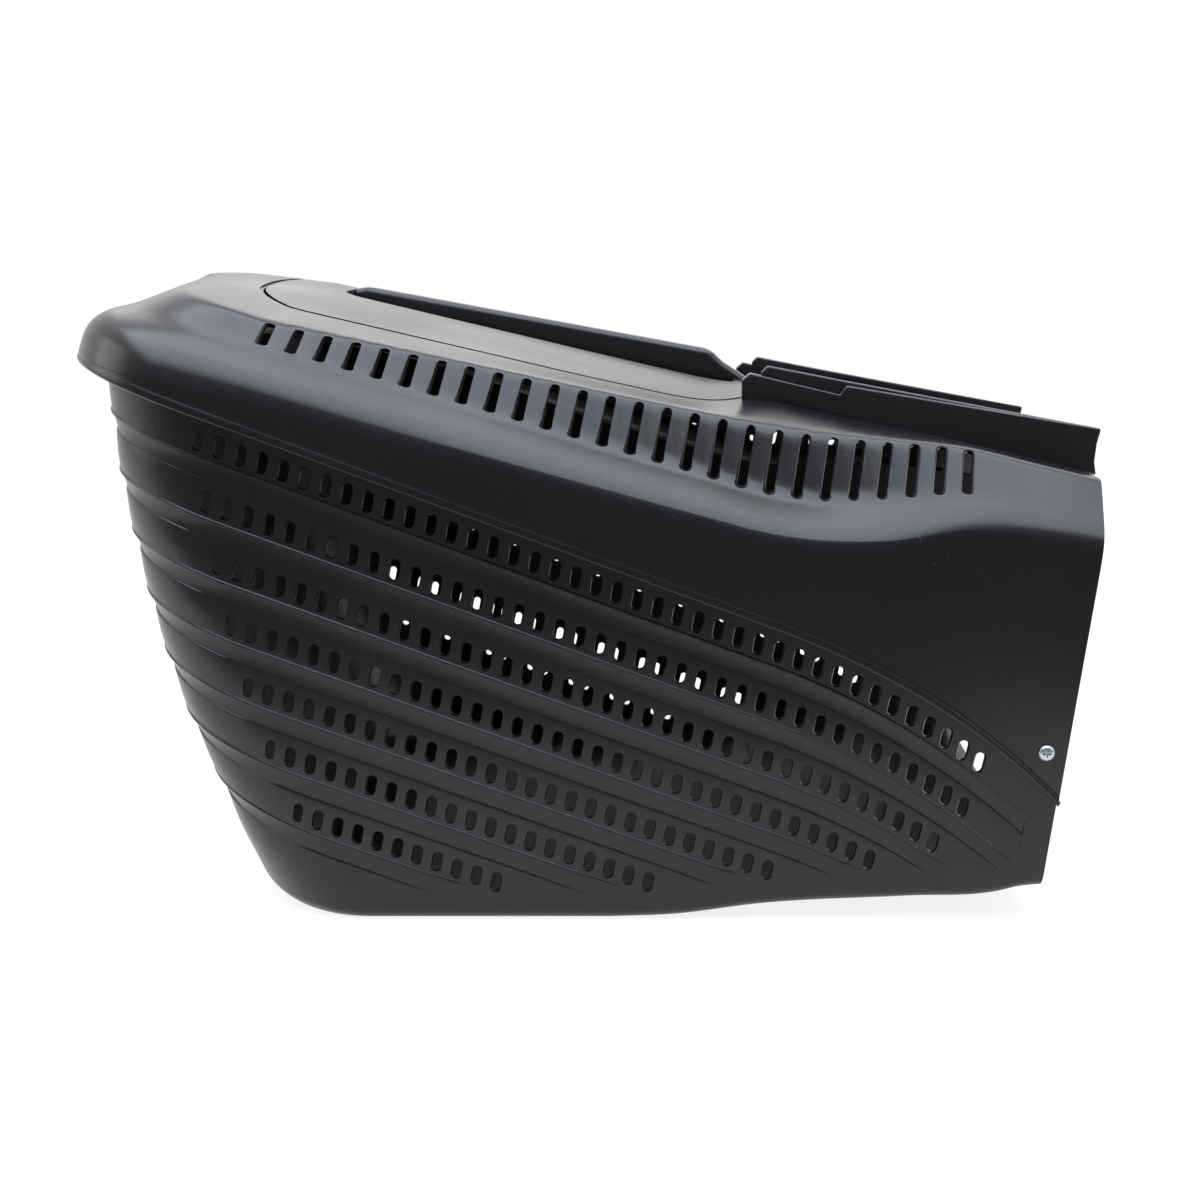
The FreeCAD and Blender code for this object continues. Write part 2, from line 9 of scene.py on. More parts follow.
import bmesh
import bpy
import numpy as np
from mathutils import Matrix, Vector


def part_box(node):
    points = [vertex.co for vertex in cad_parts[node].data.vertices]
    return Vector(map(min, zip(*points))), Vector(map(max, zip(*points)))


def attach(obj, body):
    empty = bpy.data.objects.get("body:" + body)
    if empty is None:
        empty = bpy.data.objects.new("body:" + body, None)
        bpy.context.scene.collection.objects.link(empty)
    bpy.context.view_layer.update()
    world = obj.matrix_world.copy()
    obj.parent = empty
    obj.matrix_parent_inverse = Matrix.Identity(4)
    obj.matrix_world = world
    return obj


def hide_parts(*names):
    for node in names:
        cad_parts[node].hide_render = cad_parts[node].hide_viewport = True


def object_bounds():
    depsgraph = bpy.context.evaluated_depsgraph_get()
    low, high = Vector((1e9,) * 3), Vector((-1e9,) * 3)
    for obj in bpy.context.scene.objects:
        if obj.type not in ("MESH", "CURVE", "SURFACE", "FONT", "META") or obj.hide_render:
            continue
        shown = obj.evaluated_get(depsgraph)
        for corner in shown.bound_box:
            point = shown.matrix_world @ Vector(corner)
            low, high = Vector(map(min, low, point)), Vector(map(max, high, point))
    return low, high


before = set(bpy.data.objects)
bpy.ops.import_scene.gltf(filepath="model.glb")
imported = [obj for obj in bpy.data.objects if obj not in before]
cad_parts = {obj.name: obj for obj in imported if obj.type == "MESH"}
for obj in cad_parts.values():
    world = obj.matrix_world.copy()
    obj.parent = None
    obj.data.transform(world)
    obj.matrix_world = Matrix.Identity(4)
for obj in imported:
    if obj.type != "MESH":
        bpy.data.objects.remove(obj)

MM = 0.001
cad_box = [list(corner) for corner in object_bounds()]
for name in sorted(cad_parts):
    low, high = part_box(name)
    print("node", name, [round(v, 4) for v in low], [round(v, 4) for v in high])

# %% [markdown]
# All sizes below are millimetres. The overall length comes from the frame, so the stations along the box are
# counted from its rear brim and from its mouth, as a mould maker would dimension them.

# %% Stations along the box
BACK_X = cad_box[0][0] / MM
MOUTH_X = cad_box[1][0] / MM
REAR_STATION = BACK_X + 115.0
BLEND_START = MOUTH_X - 195.0
BLEND_END = MOUTH_X - 88.0
MOUTH_STATION = MOUTH_X - 5.0
WALL = 3.0
print("box runs from", round(BACK_X, 1), "to", round(MOUTH_X, 1), "mm")

# %% [markdown]
# Both mouldings are drawn round one path: along the near side from the mouth, round the rear corner, across
# the back and forward again on the far side. A place on the path is one number: 0 at the mouth, 1 at the
# station where the rear begins, 2 where the corner starts, 3 where it ends and 4 at the middle of the back.

# %% Path round the box
def blend(a, b, share):
    return a + (b - a) * share


def smooth(share):
    share = min(max(share, 0.0), 1.0)
    return share * share * (3.0 - 2.0 * share)


def path_point(u, half_at, back, radius, front_x, station_x):
    """Plan position on the near side of an outline, with the width given along the length."""
    if u <= 2.0:
        x = blend(front_x, station_x, u) if u <= 1.0 else blend(station_x, back + radius, u - 1.0)
        return x, half_at(x)
    half = half_at(back + radius)
    if u <= 3.0:
        turn = math.radians(90.0 * (u - 2.0))
        return back + radius * (1.0 - math.sin(turn)), half - radius * (1.0 - math.cos(turn))
    return back, (half - radius) * (4.0 - u)


def path_places(*counts):
    """Places on the path, with a count of them from each whole number to the next."""
    return np.concatenate([np.linspace(k, k + 1, count)[min(k, 1):] for k, count in enumerate(counts)])


def curve_through(xs, values):
    """Smooth line through a few known places, without overshoot at their ends."""
    xs = np.array(xs, float)
    values = np.array(values, float)
    slopes = np.gradient(values, xs)

    def at(x):
        i = int(np.clip(np.searchsorted(xs, x) - 1, 0, len(xs) - 2))
        width = xs[i + 1] - xs[i]
        t = (x - xs[i]) / width
        if t < 0.0 or t > 1.0:
            end = i if t < 0.0 else i + 1
            return values[end] + slopes[end] * (x - xs[end])
        a = values[i] * (1 + 2 * t) + slopes[i] * width * t
        b = values[i + 1] * (3 - 2 * t) - slopes[i + 1] * width * (1 - t)
        return a * (1 - t) ** 2 + b * t * t
    return at


# %% [markdown]
# A few helpers turn lists of points into meshes and carve one mesh with another. The exact cut is left to the
# Boolean modifier's manifold solver: it is quick and keeps closed shells closed, as perforated walls need.

# %% Mesh helpers
MERGE = 0.01
SHARP_DEG = 32.0


def show(name, data):
    """Object with the given mesh, curve, lamp or camera, linked into the scene."""
    thing = bpy.data.objects.new(name, data)
    bpy.context.scene.collection.objects.link(thing)
    return thing


def new_piece(name, points, faces):
    mesh = bpy.data.meshes.new(name)
    mesh.from_pydata([tuple(MM * c for c in point) for point in points], [], faces)
    mesh.update()
    return show(name, mesh)


def settle(piece):
    """Make what the modifiers show the piece's own plain mesh."""
    graph = bpy.context.evaluated_depsgraph_get()
    mesh = bpy.data.meshes.new_from_object(piece.evaluated_get(graph))
    old = piece.data
    piece.modifiers.clear()
    if piece.type == "MESH":
        piece.data = mesh
        bpy.data.meshes.remove(old)
        return piece
    solid = show(piece.name + "_mesh", mesh)
    bpy.data.objects.remove(piece)
    return solid


def reshape(piece, *edits):
    """Edit a piece's mesh step by step, then turn its faces outwards."""
    shape = bmesh.new()
    shape.from_mesh(piece.data)
    for edit in edits:
        edit(shape)
    bmesh.ops.recalc_face_normals(shape, faces=shape.faces)
    shape.to_mesh(piece.data)
    shape.free()
    return piece


def merge_doubles(shape):
    bmesh.ops.remove_doubles(shape, verts=shape.verts, dist=MERGE * MM)


def copy_of(piece):
    return show(piece.name + "_copy", piece.data.copy())


def carve(piece, tool, operation="DIFFERENCE"):
    step = piece.modifiers.new(operation.lower(), "BOOLEAN")
    step.operation = operation
    step.solver = "MANIFOLD"
    step.object = tool
    settle(piece)
    bpy.data.objects.remove(tool)
    return piece


def soften(piece):
    """Smooth shading that keeps the real edges."""
    piece.data.polygons.foreach_set("use_smooth", [True] * len(piece.data.polygons))
    piece.data.set_sharp_from_angle(angle=math.radians(SHARP_DEG))


def loops_mesh(name, loops):
    """Closed skin through loops of equal length, capped at both ends."""
    count = len(loops[0])
    last = (len(loops) - 1) * count
    points = [point for loop in loops for point in loop]
    faces = []
    for row in range(0, last, count):
        for col in range(count):
            nxt = (col + 1) % count
            faces.append((row + col, row + nxt, row + count + nxt, row + count + col))
    faces.append(tuple(reversed(range(count))))
    faces.append(tuple(range(last, last + count)))
    return reshape(new_piece(name, points, faces))


# %% [markdown]
# The seam is the lower edge of the cover: a straight diagonal that bends down to the mouth. The rows of slots
# and the steps of the tub all follow it, so one function serves them all. The rim of the mouth leans out, and
# a little more so at its top.

# %% Seam and mouth
SEAM_REAR_Z = 338.0
SEAM_SLOPE = math.radians(20.56)
SEAM_BEND_X = MOUTH_X - 205.0
SEAM_BEND_R = 466.0
MOUTH_FOOT_X = MOUTH_X - 43.0
MOUTH_LEAN = math.tan(math.radians(6.7))
MOUTH_TOP_Z = 236.0
MOUTH_TOP_LEAN = 0.16
SEAM_END_SINE = 0.98
SEAM_STRAIGHT = (SEAM_BEND_X - BACK_X) / math.cos(SEAM_SLOPE)


def seam_point(run):
    """Length and height on the seam at a run along it from the rear brim."""
    flat = min(run, SEAM_STRAIGHT)
    turn = SEAM_SLOPE + max(run - SEAM_STRAIGHT, 0.0) / SEAM_BEND_R
    x = BACK_X + flat * math.cos(SEAM_SLOPE) + SEAM_BEND_R * (math.sin(turn) - math.sin(SEAM_SLOPE))
    z = SEAM_REAR_Z - flat * math.sin(SEAM_SLOPE) + SEAM_BEND_R * (math.cos(turn) - math.cos(SEAM_SLOPE))
    return x, z


def seam_z(x):
    if x <= SEAM_BEND_X:
        return SEAM_REAR_Z - (x - BACK_X) * math.tan(SEAM_SLOPE)
    turn = math.asin(min((x - SEAM_BEND_X) / SEAM_BEND_R + math.sin(SEAM_SLOPE), SEAM_END_SINE))
    bend_z = SEAM_REAR_Z - (SEAM_BEND_X - BACK_X) * math.tan(SEAM_SLOPE)
    return bend_z + SEAM_BEND_R * (math.cos(turn) - math.cos(SEAM_SLOPE))


def mouth_x(z):
    """Length of the mouth's rim at a height."""
    return MOUTH_FOOT_X + MOUTH_LEAN * min(z, MOUTH_TOP_Z) + MOUTH_TOP_LEAN * max(z - MOUTH_TOP_Z, 0.0)


def sheared(x, z, start):
    """Move a place near the mouth so that the foremost ones end on the rim."""
    if x <= start:
        return x
    return x + ((x - start) / (MOUTH_X - start)) ** 2 * (mouth_x(z) - MOUTH_X)


print("seam is", round(seam_z(MOUTH_FOOT_X), 1), "mm high over the foot of the mouth")

# %% [markdown]
# The tub is one moulding with a wall of even thickness. Its walls are flat and lean outwards, the rear
# corners and the floor's edge are round, and the floor rises a little towards the mouth. It could be a box
# with bevels, but the walls have to follow the frame exactly, so its rows are written out from rim to floor.

# %% Tub shell
TUB_HALF = 188.0
TUB_DRAFT = math.tan(math.radians(1.5))
TUB_CORNER_R = 75.0
SIDE_EDGE_R = 8.0
REAR_EDGE_R = 18.0
FLOOR_EDGE_STEPS = 8
WALL_STEPS = 12
TUB_STATION = BACK_X + 190.0
WALL_PROBE_Z = 200.0
FLOOR_PROBE_Z = 20.0
FLOOR_SHARES = (0.3, 0.65, 1.0)
rear_setback = curve_through([0, 30, 69, 121, 171, 221, 262, 300, 345],
                             [88, 74, 59.5, 40.5, 27.5, 18.5, 13.0, 10.5, 9.6])
floor_rise = curve_through([BACK_X, MOUTH_X - 300, MOUTH_X - 262, MOUTH_X - 210, MOUTH_X - 120, MOUTH_X - 66,
                            MOUTH_X - 52, MOUTH_X - 42, MOUTH_X], [0, 0, 1.6, 8.5, 13.5, 16.5, 20, 21, 22])
rim_rise = curve_through([BACK_X, REAR_STATION, BLEND_START, BLEND_END, MOUTH_STATION],
                         [350, 328, 240, 239, 226])


def tub_half(z):
    return TUB_HALF + TUB_DRAFT * z


def tub_wall(u, z, inset):
    """Near side of the tub at a place on the path and a height, drawn in by an inset."""
    back = BACK_X + rear_setback(z) + inset
    half = tub_half(z) - inset
    x, y = path_point(u, lambda _: half, back, TUB_CORNER_R - inset, MOUTH_X, TUB_STATION)
    return sheared(x, z, TUB_STATION), -y, z


def tub_rows(u, inset):
    """One column of the tub from rim to the middle of the floor."""
    x = tub_wall(u, WALL_PROBE_Z, inset)[0]
    rim = rim_rise(tub_wall(u, rim_rise(x), inset)[0])
    base = max(floor_rise(tub_wall(u, FLOOR_PROBE_Z, inset)[0]), 0.0) + inset
    radius = blend(SIDE_EDGE_R, REAR_EDGE_R, smooth(u - 2.0)) - inset
    shares = np.linspace(0, 1, WALL_STEPS + 1)[:-1]
    rows = [tub_wall(u, blend(rim, base + radius, share), inset) for share in shares]
    for step in range(FLOOR_EDGE_STEPS + 1):
        turn = math.radians(90.0 * step / FLOOR_EDGE_STEPS)
        rows.append(tub_wall(u, base + radius * (1 - math.sin(turn)), inset + radius * (1 - math.cos(turn))))
    x, y, z = rows[-1]
    middle_x = max(x, TUB_STATION)
    for share in FLOOR_SHARES:
        px = blend(x, middle_x, share)
        rows.append((px, y * (1.0 - share), max(floor_rise(px), 0.0) + inset))
    return rows


def both_sides(columns):
    """Mirror the near half's columns, from the mouth round to the mouth again."""
    far = [[(x, -y, z) for x, y, z in column] for column in reversed(columns[:-1])]
    return columns + far


def shell(name, outer, inner):
    """Closed wall between an outer and an inner sheet of matching columns."""
    cols = len(outer)
    rows = len(outer[0])
    points = [point for column in outer for point in column] + [point for column in inner for point in column]
    faces = []
    base = cols * rows
    for c in range(cols - 1):
        for r in range(rows - 1):
            a, b, d, e = c * rows + r, (c + 1) * rows + r, (c + 1) * rows + r + 1, c * rows + r + 1
            faces.append((a, b, d, e))
            faces.append((base + e, base + d, base + b, base + a))
        faces.append((base + c * rows, base + (c + 1) * rows, (c + 1) * rows, c * rows))
    last = (cols - 1) * rows
    for r in range(rows - 1):
        faces.append((r, r + 1, base + r + 1, base + r))
        faces.append((last + r + 1, last + r, base + last + r, base + last + r + 1))
    return reshape(new_piece(name, points, faces), merge_doubles)


path = path_places(70, 6, 28, 8)
tub = shell("tub_shell", both_sides([tub_rows(u, 0.0) for u in path]),
            both_sides([tub_rows(u, WALL) for u in path]))
print("tub shell has", len(tub.data.polygons), "faces")

# %% [markdown]
# The outside of the tub is stepped like clapboard: under each row of slots the wall slants in, then runs out
# again to the next row, and a fine bead marks the edge between. A displacement would need a very fine grid to
# keep those edges crisp. A swept cutter keeps them exact: its section is the shape of one step, and it
# follows the seam round the three walls. The bead is swept the same way and joined on. Both fade out below.

# %% Steps of the tub
ROWS = 7
FIRST_ROW_DROP = 16.0
ROW_SPACING = 34.5
STEP_TOP = 10.5
# Sections as the drop below the edge and the way out from the wall.
STEP_SECTION = ((-0.6, 0.5), (0.0, -0.35), (0.6, -0.7), (10.2, -2.2), (10.8, -2.0), (11.3, -1.25),
                (12.0, -1.0), (28.0, 0.2), (28.0, 4.0), (-0.6, 4.0))
BEAD_SECTION = ((-1.9, -0.9), (-1.7, -0.1), (-1.2, 0.4), (-0.6, 0.7), (0.0, 0.65), (0.4, 0.2), (0.5, -0.9))
SIDE_DEPTH = 0.4
DEEPER_FROM = 1.8
STEP_FLUSH = 0.3
BEAD_FLUSH = -0.5
# Each sweep: its share of the depth at the sides, where it ends near the floor, and how it is applied.
SWEEPS = (("step", STEP_SECTION, SIDE_DEPTH, STEP_FLUSH, "DIFFERENCE"),
          ("bead", BEAD_SECTION, 1.0, BEAD_FLUSH, "UNION"))
SEAM_PROBE_Z = 150.0
STEP_FLOOR_Z = 7.0
FADE_START = 9.0
FADE_HEIGHT = 24.0
STEP_RAMP_X = MOUTH_X - 285.0
STEP_RAMP_SLOPE = 0.082
STEP_MOUTH_MARGIN = 17.0


def wall_below_seam(u, drop, out, depth, flush):
    """Place on the tub a drop below the seam, standing out from the wall, or flush near the floor."""
    z = SEAM_PROBE_Z
    for _ in range(6):
        x = tub_wall(u, z, 0.0)[0]
        z = seam_z(x) - drop
    out *= blend(depth, 1.0, smooth(u - DEEPER_FROM))
    share = smooth((z - max(floor_rise(x), 0.0) - FADE_START) / FADE_HEIGHT)
    if out * flush < 0.0:
        out = blend(flush, out, share)
    return tub_wall(u, z, -out)


def clip(piece, place, normal):
    """Cut a sweep off at a plane and close it there."""
    def cut(shape):
        parts = shape.verts[:] + shape.edges[:] + shape.faces[:]
        bmesh.ops.bisect_plane(shape, geom=parts, plane_co=Vector(place) * MM, plane_no=Vector(normal),
                               clear_outer=True)
        bmesh.ops.holes_fill(shape, edges=[edge for edge in shape.edges if edge.is_boundary])
    reshape(piece, cut)


step_path = path_places(60, 5, 28, 6)
for row in range(ROWS):
    top = FIRST_ROW_DROP + ROW_SPACING * row + STEP_TOP
    for name, section, depth, flush, operation in SWEEPS:
        columns = []
        for u in step_path:
            columns.append([wall_below_seam(u, top + drop, out, depth, flush) for drop, out in section])
        sweep = loops_mesh(name, both_sides(columns))
        clip(sweep, (0, 0, STEP_FLOOR_Z), (0, 0, -1))
        clip(sweep, (STEP_RAMP_X, 0, STEP_FLOOR_Z), (STEP_RAMP_SLOPE, 0, -1))
        clip(sweep, (mouth_x(0.0) - STEP_MOUTH_MARGIN, 0, 0), (1, 0, -MOUTH_LEAN))
        carve(tub, sweep, operation)
print("tub with steps has", len(tub.data.polygons), "faces")

# %% [markdown]
# The slots repeat along curves, which is work for Geometry Nodes: one cutter with round ends is set along
# each row at a fixed pitch, turned by the lean of the slots, and mirrored to the far side. The cutter widens
# at the skin, so each slot gets the small rounded rim that catches light on a moulded part.

# %% Node tree that repeats a cutter on both sides
def add(tree, kind, settings=None, **links):
    """Add a node, set its fields and plug values or other sockets into its inputs."""
    node = tree.nodes.new(kind)
    for field, value in (settings or {}).items():
        setattr(node, field, value)
    for name, value in links.items():
        socket = node.inputs[int(name[1:])] if name[0] == "i" and name[1:].isdigit() else node.inputs[name]
        if isinstance(value, bpy.types.NodeSocket):
            tree.links.new(value, socket)
        else:
            socket.default_value = value
    return node


def new_tree(name, **inputs):
    """Empty tree with named inputs, and the sockets that give their values."""
    tree = bpy.data.node_groups.new(name, "GeometryNodeTree")
    for title, kind in {"Geometry": "Geometry", **inputs, "Finish": "Material"}.items():
        tree.interface.new_socket(title, in_out="INPUT", socket_type="NodeSocket" + kind)
    tree.interface.new_socket("Geometry", in_out="OUTPUT", socket_type="NodeSocketGeometry")
    return tree, tree.nodes.new("NodeGroupInput").outputs


def end_tree(tree, real, finish):
    """End a tree: the real mesh gets its material and goes out."""
    dressed = add(tree, "GeometryNodeSetMaterial", Geometry=real, Material=finish).outputs[0]
    tree.links.new(dressed, tree.nodes.new("NodeGroupOutput").inputs[0])
    return tree


def repeat_tree(name, resample):
    """Tree that sets a cutter on points or along curves, and mirrors it to the far side."""
    tree, given = new_tree(name, Cutter="Object", Pitch="Float", Lean="Float")
    points = given["Geometry"]
    if resample:
        points = add(tree, "GeometryNodeResampleCurve", {"mode": "LENGTH"}, Curve=points,
                     Length=given["Pitch"]).outputs[0]
    shape = add(tree, "GeometryNodeObjectInfo", Object=given["Cutter"]).outputs["Geometry"]
    tilt = add(tree, "GeometryNodeInputNamedAttribute", {"data_type": "FLOAT"}, Name="tilt")
    turn = add(tree, "ShaderNodeCombineXYZ", X=tilt.outputs["Attribute"], Y=given["Lean"]).outputs[0]
    reach = add(tree, "GeometryNodeInputNamedAttribute", {"data_type": "FLOAT_VECTOR"}, Name="reach")
    even = add(tree, "GeometryNodeSwitch", {"input_type": "VECTOR"}, Switch=reach.outputs["Exists"],
               **{"False": (1.0, 1.0, 1.0)}, **{"True": reach.outputs["Attribute"]})
    placed = add(tree, "GeometryNodeInstanceOnPoints", Points=points, Instance=shape, Rotation=turn,
                 Scale=even.outputs[0])
    near = add(tree, "GeometryNodeRealizeInstances", Geometry=placed.outputs[0]).outputs[0]
    moved = add(tree, "GeometryNodeTransform", Geometry=near, Scale=(1.0, -1.0, 1.0)).outputs[0]
    far = add(tree, "GeometryNodeFlipFaces", Mesh=moved).outputs[0]
    joined = add(tree, "GeometryNodeJoinGeometry")
    tree.links.new(near, joined.inputs[0])
    tree.links.new(far, joined.inputs[0])
    return end_tree(tree, joined.outputs[0], given["Finish"])


def repeat(piece, tree, values):
    """Run the tree on a piece, with its named inputs set before it is first evaluated."""
    step = piece.modifiers.new(tree.name, "NODES")
    step.node_group = tree
    for item in tree.interface.items_tree:
        if item.item_type == "SOCKET" and item.in_out == "INPUT" and item.name in values:
            step[item.identifier] = values[item.name]
    return settle(piece)


def slot_cutter(name, width, length, ends, rings):
    """Bar with round ends along Z, and rings of (depth along Y, growth) from outside to inside."""
    outline = []
    for end in (1, -1):
        for k in range(ends):
            turn = math.pi * k / (ends - 1)
            across = math.cos(turn) * width / 2
            outline.append((end * across, end * ((length - width) / 2 + math.sin(turn) * width / 2)))
    loops = []
    for depth, grow in rings:
        loops.append([(x * (1 + 2 * grow / width), depth, z * (1 + 2 * grow / length)) for x, z in outline])
    return loops_mesh(name, loops)


# %% Slots of the tub
SLOT_PITCH = 12.5
SLOT_LENGTH = 12.2
SLOT_WIDTH = 5.5
SLOT_LEAN = math.radians(12.0)
ROW_REAR_MARGIN = (71.0, 64.0)
ROW_MOUTH_MARGIN = (44.0, 104.0)
ROW_FLOOR_MARGIN = 22.0
SLOT_END_POINTS = 7
# Depth into the wall and growth of the outline there.
SLOT_FLARE = ((-3.0, 1.1), (-0.1, 0.605), (0.45, 0.25), (1.1, 0.0), (7.0, 0.0))


def row_line(row):
    """Places of the slots of one row on the near wall."""
    drop = FIRST_ROW_DROP + ROW_SPACING * row
    rear_margin = blend(*ROW_REAR_MARGIN, row / (ROWS - 1))
    mouth_margin = blend(*ROW_MOUTH_MARGIN, row / (ROWS - 1))
    run = 0.0
    for _ in range(20):
        run = (rear_setback(seam_point(run)[1] - drop) + rear_margin) / math.cos(SEAM_SLOPE)
    line = []
    while True:
        x, z = seam_point(run)
        z -= drop
        if z < max(floor_rise(x), 0.0) + ROW_FLOOR_MARGIN or x > mouth_x(z) - mouth_margin:
            return line
        line.append((x, -tub_half(z), z))
        run += SLOT_PITCH


rows_curve = bpy.data.curves.new("slot_rows", "CURVE")
rows_curve.dimensions = "3D"
slots_in_all = 0
for row in range(ROWS):
    line = row_line(row)
    slots_in_all += len(line)
    spline = rows_curve.splines.new("POLY")
    spline.points.add(len(line) - 1)
    for point, (x, y, z) in zip(spline.points, line):
        point.co = (x * MM, y * MM, z * MM, 1.0)
slot_rows = show("slot_rows", rows_curve)
cutter = slot_cutter("tub_slot", SLOT_WIDTH, SLOT_LENGTH, SLOT_END_POINTS, SLOT_FLARE)
cuts = repeat(slot_rows, repeat_tree("Slot rows", True),
              {"Cutter": cutter, "Pitch": SLOT_PITCH * MM, "Lean": SLOT_LEAN})
bpy.data.objects.remove(cutter)
carve(tub, cuts)
print("tub has", slots_in_all, "slots a side and", len(tub.data.polygons), "faces")

# %% [markdown]
# The cover is one moulding too. Its section changes all the way: a rolled brim behind that overhangs the tub,
# an inclined band for the vents, a crown, and a plain deep side at the mouth. It could be sculpted, but its
# highlights follow a few lines that run along it, such as the side of the brim and the top of the vent band.
# So those lines are given at ten stations, and the skin is drawn through them column by column, with every
# corner of the section rounded.

# %% Lines along the cover
CROWN_CORNER_R = 34.0
COVER_CORNER_R = 80.0
LAP = 0.5
BRIM_OVERHANG = 15.0
BRIM_END = BLEND_END + 60.0
LINE_STATIONS = [REAR_STATION, REAR_STATION + 120, BLEND_START - 100, BLEND_START - 50, BLEND_START - 10,
                 BLEND_START + 20, BLEND_START + 55, BLEND_END, BLEND_END + 40, MOUTH_STATION]
CROWN = [382.0, 353.8, 335.0, 323.3, 313.9, 306.8, 298.6, 286.4, 277.0, 266.9]
CROWN_REAR = 388.5
crown_at = curve_through(LINE_STATIONS, CROWN)
# Each line: in from the brim at the sides, at the mouth and at the rear, height at the rear corner and at the
# middle of the rear, the drop below the crown at each station, and the rounding of the section there.
COVER_LINES = {
    "brim_side": (0, 0, 0, 342, 342, (68, 73.5, 76, 78, 78.5, 74.5, 67.5, 49.5, 45.5, 43), 18),
    "brim_shoulder": (6, 2.5, 6, 357, 357, (54, 61.5, 65.5, 67.8, 69, 66.2, 58.5, 41, 37, 34.5), 14),
    "brim_top": (17, 6.5, 16, 364.5, 364.5, (46.5, 53.3, 57.8, 60.3, 61.9, 59.2, 51.3, 34.5, 31.5, 29), 12),
    "band_foot": (31, 13, 29, 367.5, 368.5, (38, 45, 50, 52.5, 54.4, 51.3, 42.5, 27.5, 24.5, 22.5), 6),
    "band_top": (47, 34, 52, 377.5, 387, (24.5, 21.8, 19.8, 18.4, 17.3, 14.5, 9.5, 2.5, 2.5, 2.5), 5),
    "crown_shoulder": (97, 82, 57, 385.5, 388, (17, 16.5, 16, 13.5, 2.5, 1.6, 1.5, 1.4, 1.3, 1.2), 20),
    "crown_edge": (155, 140, 64, 388, 388.4, (4.5, 4.3, 4, 3.4, 1.2, 0.8, 0.6, 0.4, 0.3, 0.3), 24),
}
BRIM_DROPS = COVER_LINES["brim_side"][5]
REAR_RISE = 0.45


def mouth_half(z):
    return tub_half(z) + LAP + WALL


class CoverLine:
    """One line along the cover: its half width, height and rear end."""

    def __init__(self, order, count, side_in, mouth_in, rear_in, corner_z, rear_z, drops, rounding):
        heights = [crown - drop for crown, drop in zip(CROWN, drops)]
        brim = [crown - drop for crown, drop in zip(CROWN, BRIM_DROPS)]
        self.z_at = curve_through(LINE_STATIONS, heights)
        self.brim_at = curve_through(LINE_STATIONS, brim)
        self.side_in, self.mouth_in, self.rounding = side_in, mouth_in, rounding
        self.back = BACK_X + rear_in
        self.rear_slope = (corner_z - heights[0]) / (self.back - REAR_STATION)
        self.side_z, self.rear_z = heights[0], rear_z
        self.radius = blend(COVER_CORNER_R, CROWN_CORNER_R, order / (count - 1))

    def half_at(self, x):
        share = smooth((x - BLEND_START) / (BRIM_END - BLEND_START))
        inset = blend(self.side_in, self.mouth_in, share)
        return mouth_half(self.brim_at(x)) + BRIM_OVERHANG * (1 - share) - inset

    def point(self, u):
        half_at = self.half_at
        if u <= 1.0:
            x = blend(MOUTH_X, REAR_STATION, u)
            for _ in range(2):
                x = sheared(blend(MOUTH_X, REAR_STATION, u), self.z_at(x), BLEND_START)
            return x, -half_at(x), self.z_at(x)
        station_half = half_at(REAR_STATION)
        x, y = path_point(u, lambda _: station_half, self.back, self.radius, MOUTH_X, REAR_STATION)
        z = self.side_z + self.rear_slope * (x - REAR_STATION)
        return x, -y, blend(z, self.rear_z, smooth((u - 3.0) / REAR_RISE))


cover_lines = {}
for order, (name, values) in enumerate(COVER_LINES.items()):
    cover_lines[name] = CoverLine(order, len(COVER_LINES), *values)
print("cover follows", list(cover_lines))

# %% Section of the cover
LIP_HEIGHT = 5.0
LIP_OUT = 1.0
# Bead along the lip: share of its height, share of the way out, and rounding.
LIP_SHAPE = ((0.0, 0.0, 0.0), (0.12, 1.0, 0.8), (0.85, 1.0, 1.8), (1.2, 0.0, 1.8))
VENTS = 26
FIRST_VENT_X = BACK_X + 118.0
LAST_VENT_X = BLEND_END - 3.0
VENT_PITCH = (LAST_VENT_X - FIRST_VENT_X) / (VENTS - 1)
SCALLOP = 1.0
SCALLOP_END = VENTS - 2.6
SCALLOP_MARGIN = 0.12
SCALLOP_FOOT_FADE = 0.3
SCALLOP_TOP_FADE = 0.22
ROUND_STEPS = 5
CORNER_SHARE = 0.48
RIDGE_REAR_X = REAR_STATION - 20.0
# Rows on the straight runs between the corners of the section, from the lip to the crown.
RUN_ROWS = (0, 0, 0, 3, 0, 0, 1, 7, 2, 2, 3)


def skirt_point(u, above):
    """Place on the skirt a given height above the seam."""
    line = cover_lines["brim_side"]
    top = line.point(u)
    if u > 1.0:
        x, y, _ = top
        return x, y, seam_z(x) + above
    base = blend(MOUTH_X, REAR_STATION, u)
    x = base
    for _ in range(4):
        x = sheared(base, seam_z(x) + above, BLEND_START)
    z = seam_z(x) + above
    half = line.half_at(x) - (line.z_at(x) - z) * TUB_DRAFT
    return x, -half, z


def outward(u):
    """Direction in plan that points out of the box at a place on the path."""
    if u <= 2.0:
        return 0.0, -1.0
    turn = math.radians(90.0 * min(u - 2.0, 1.0))
    return -math.sin(turn), -math.cos(turn)


def lip(u, above, out):
    x, y, z = skirt_point(u, above)
    ox, oy = outward(u)
    return x + ox * out, y + oy * out, z


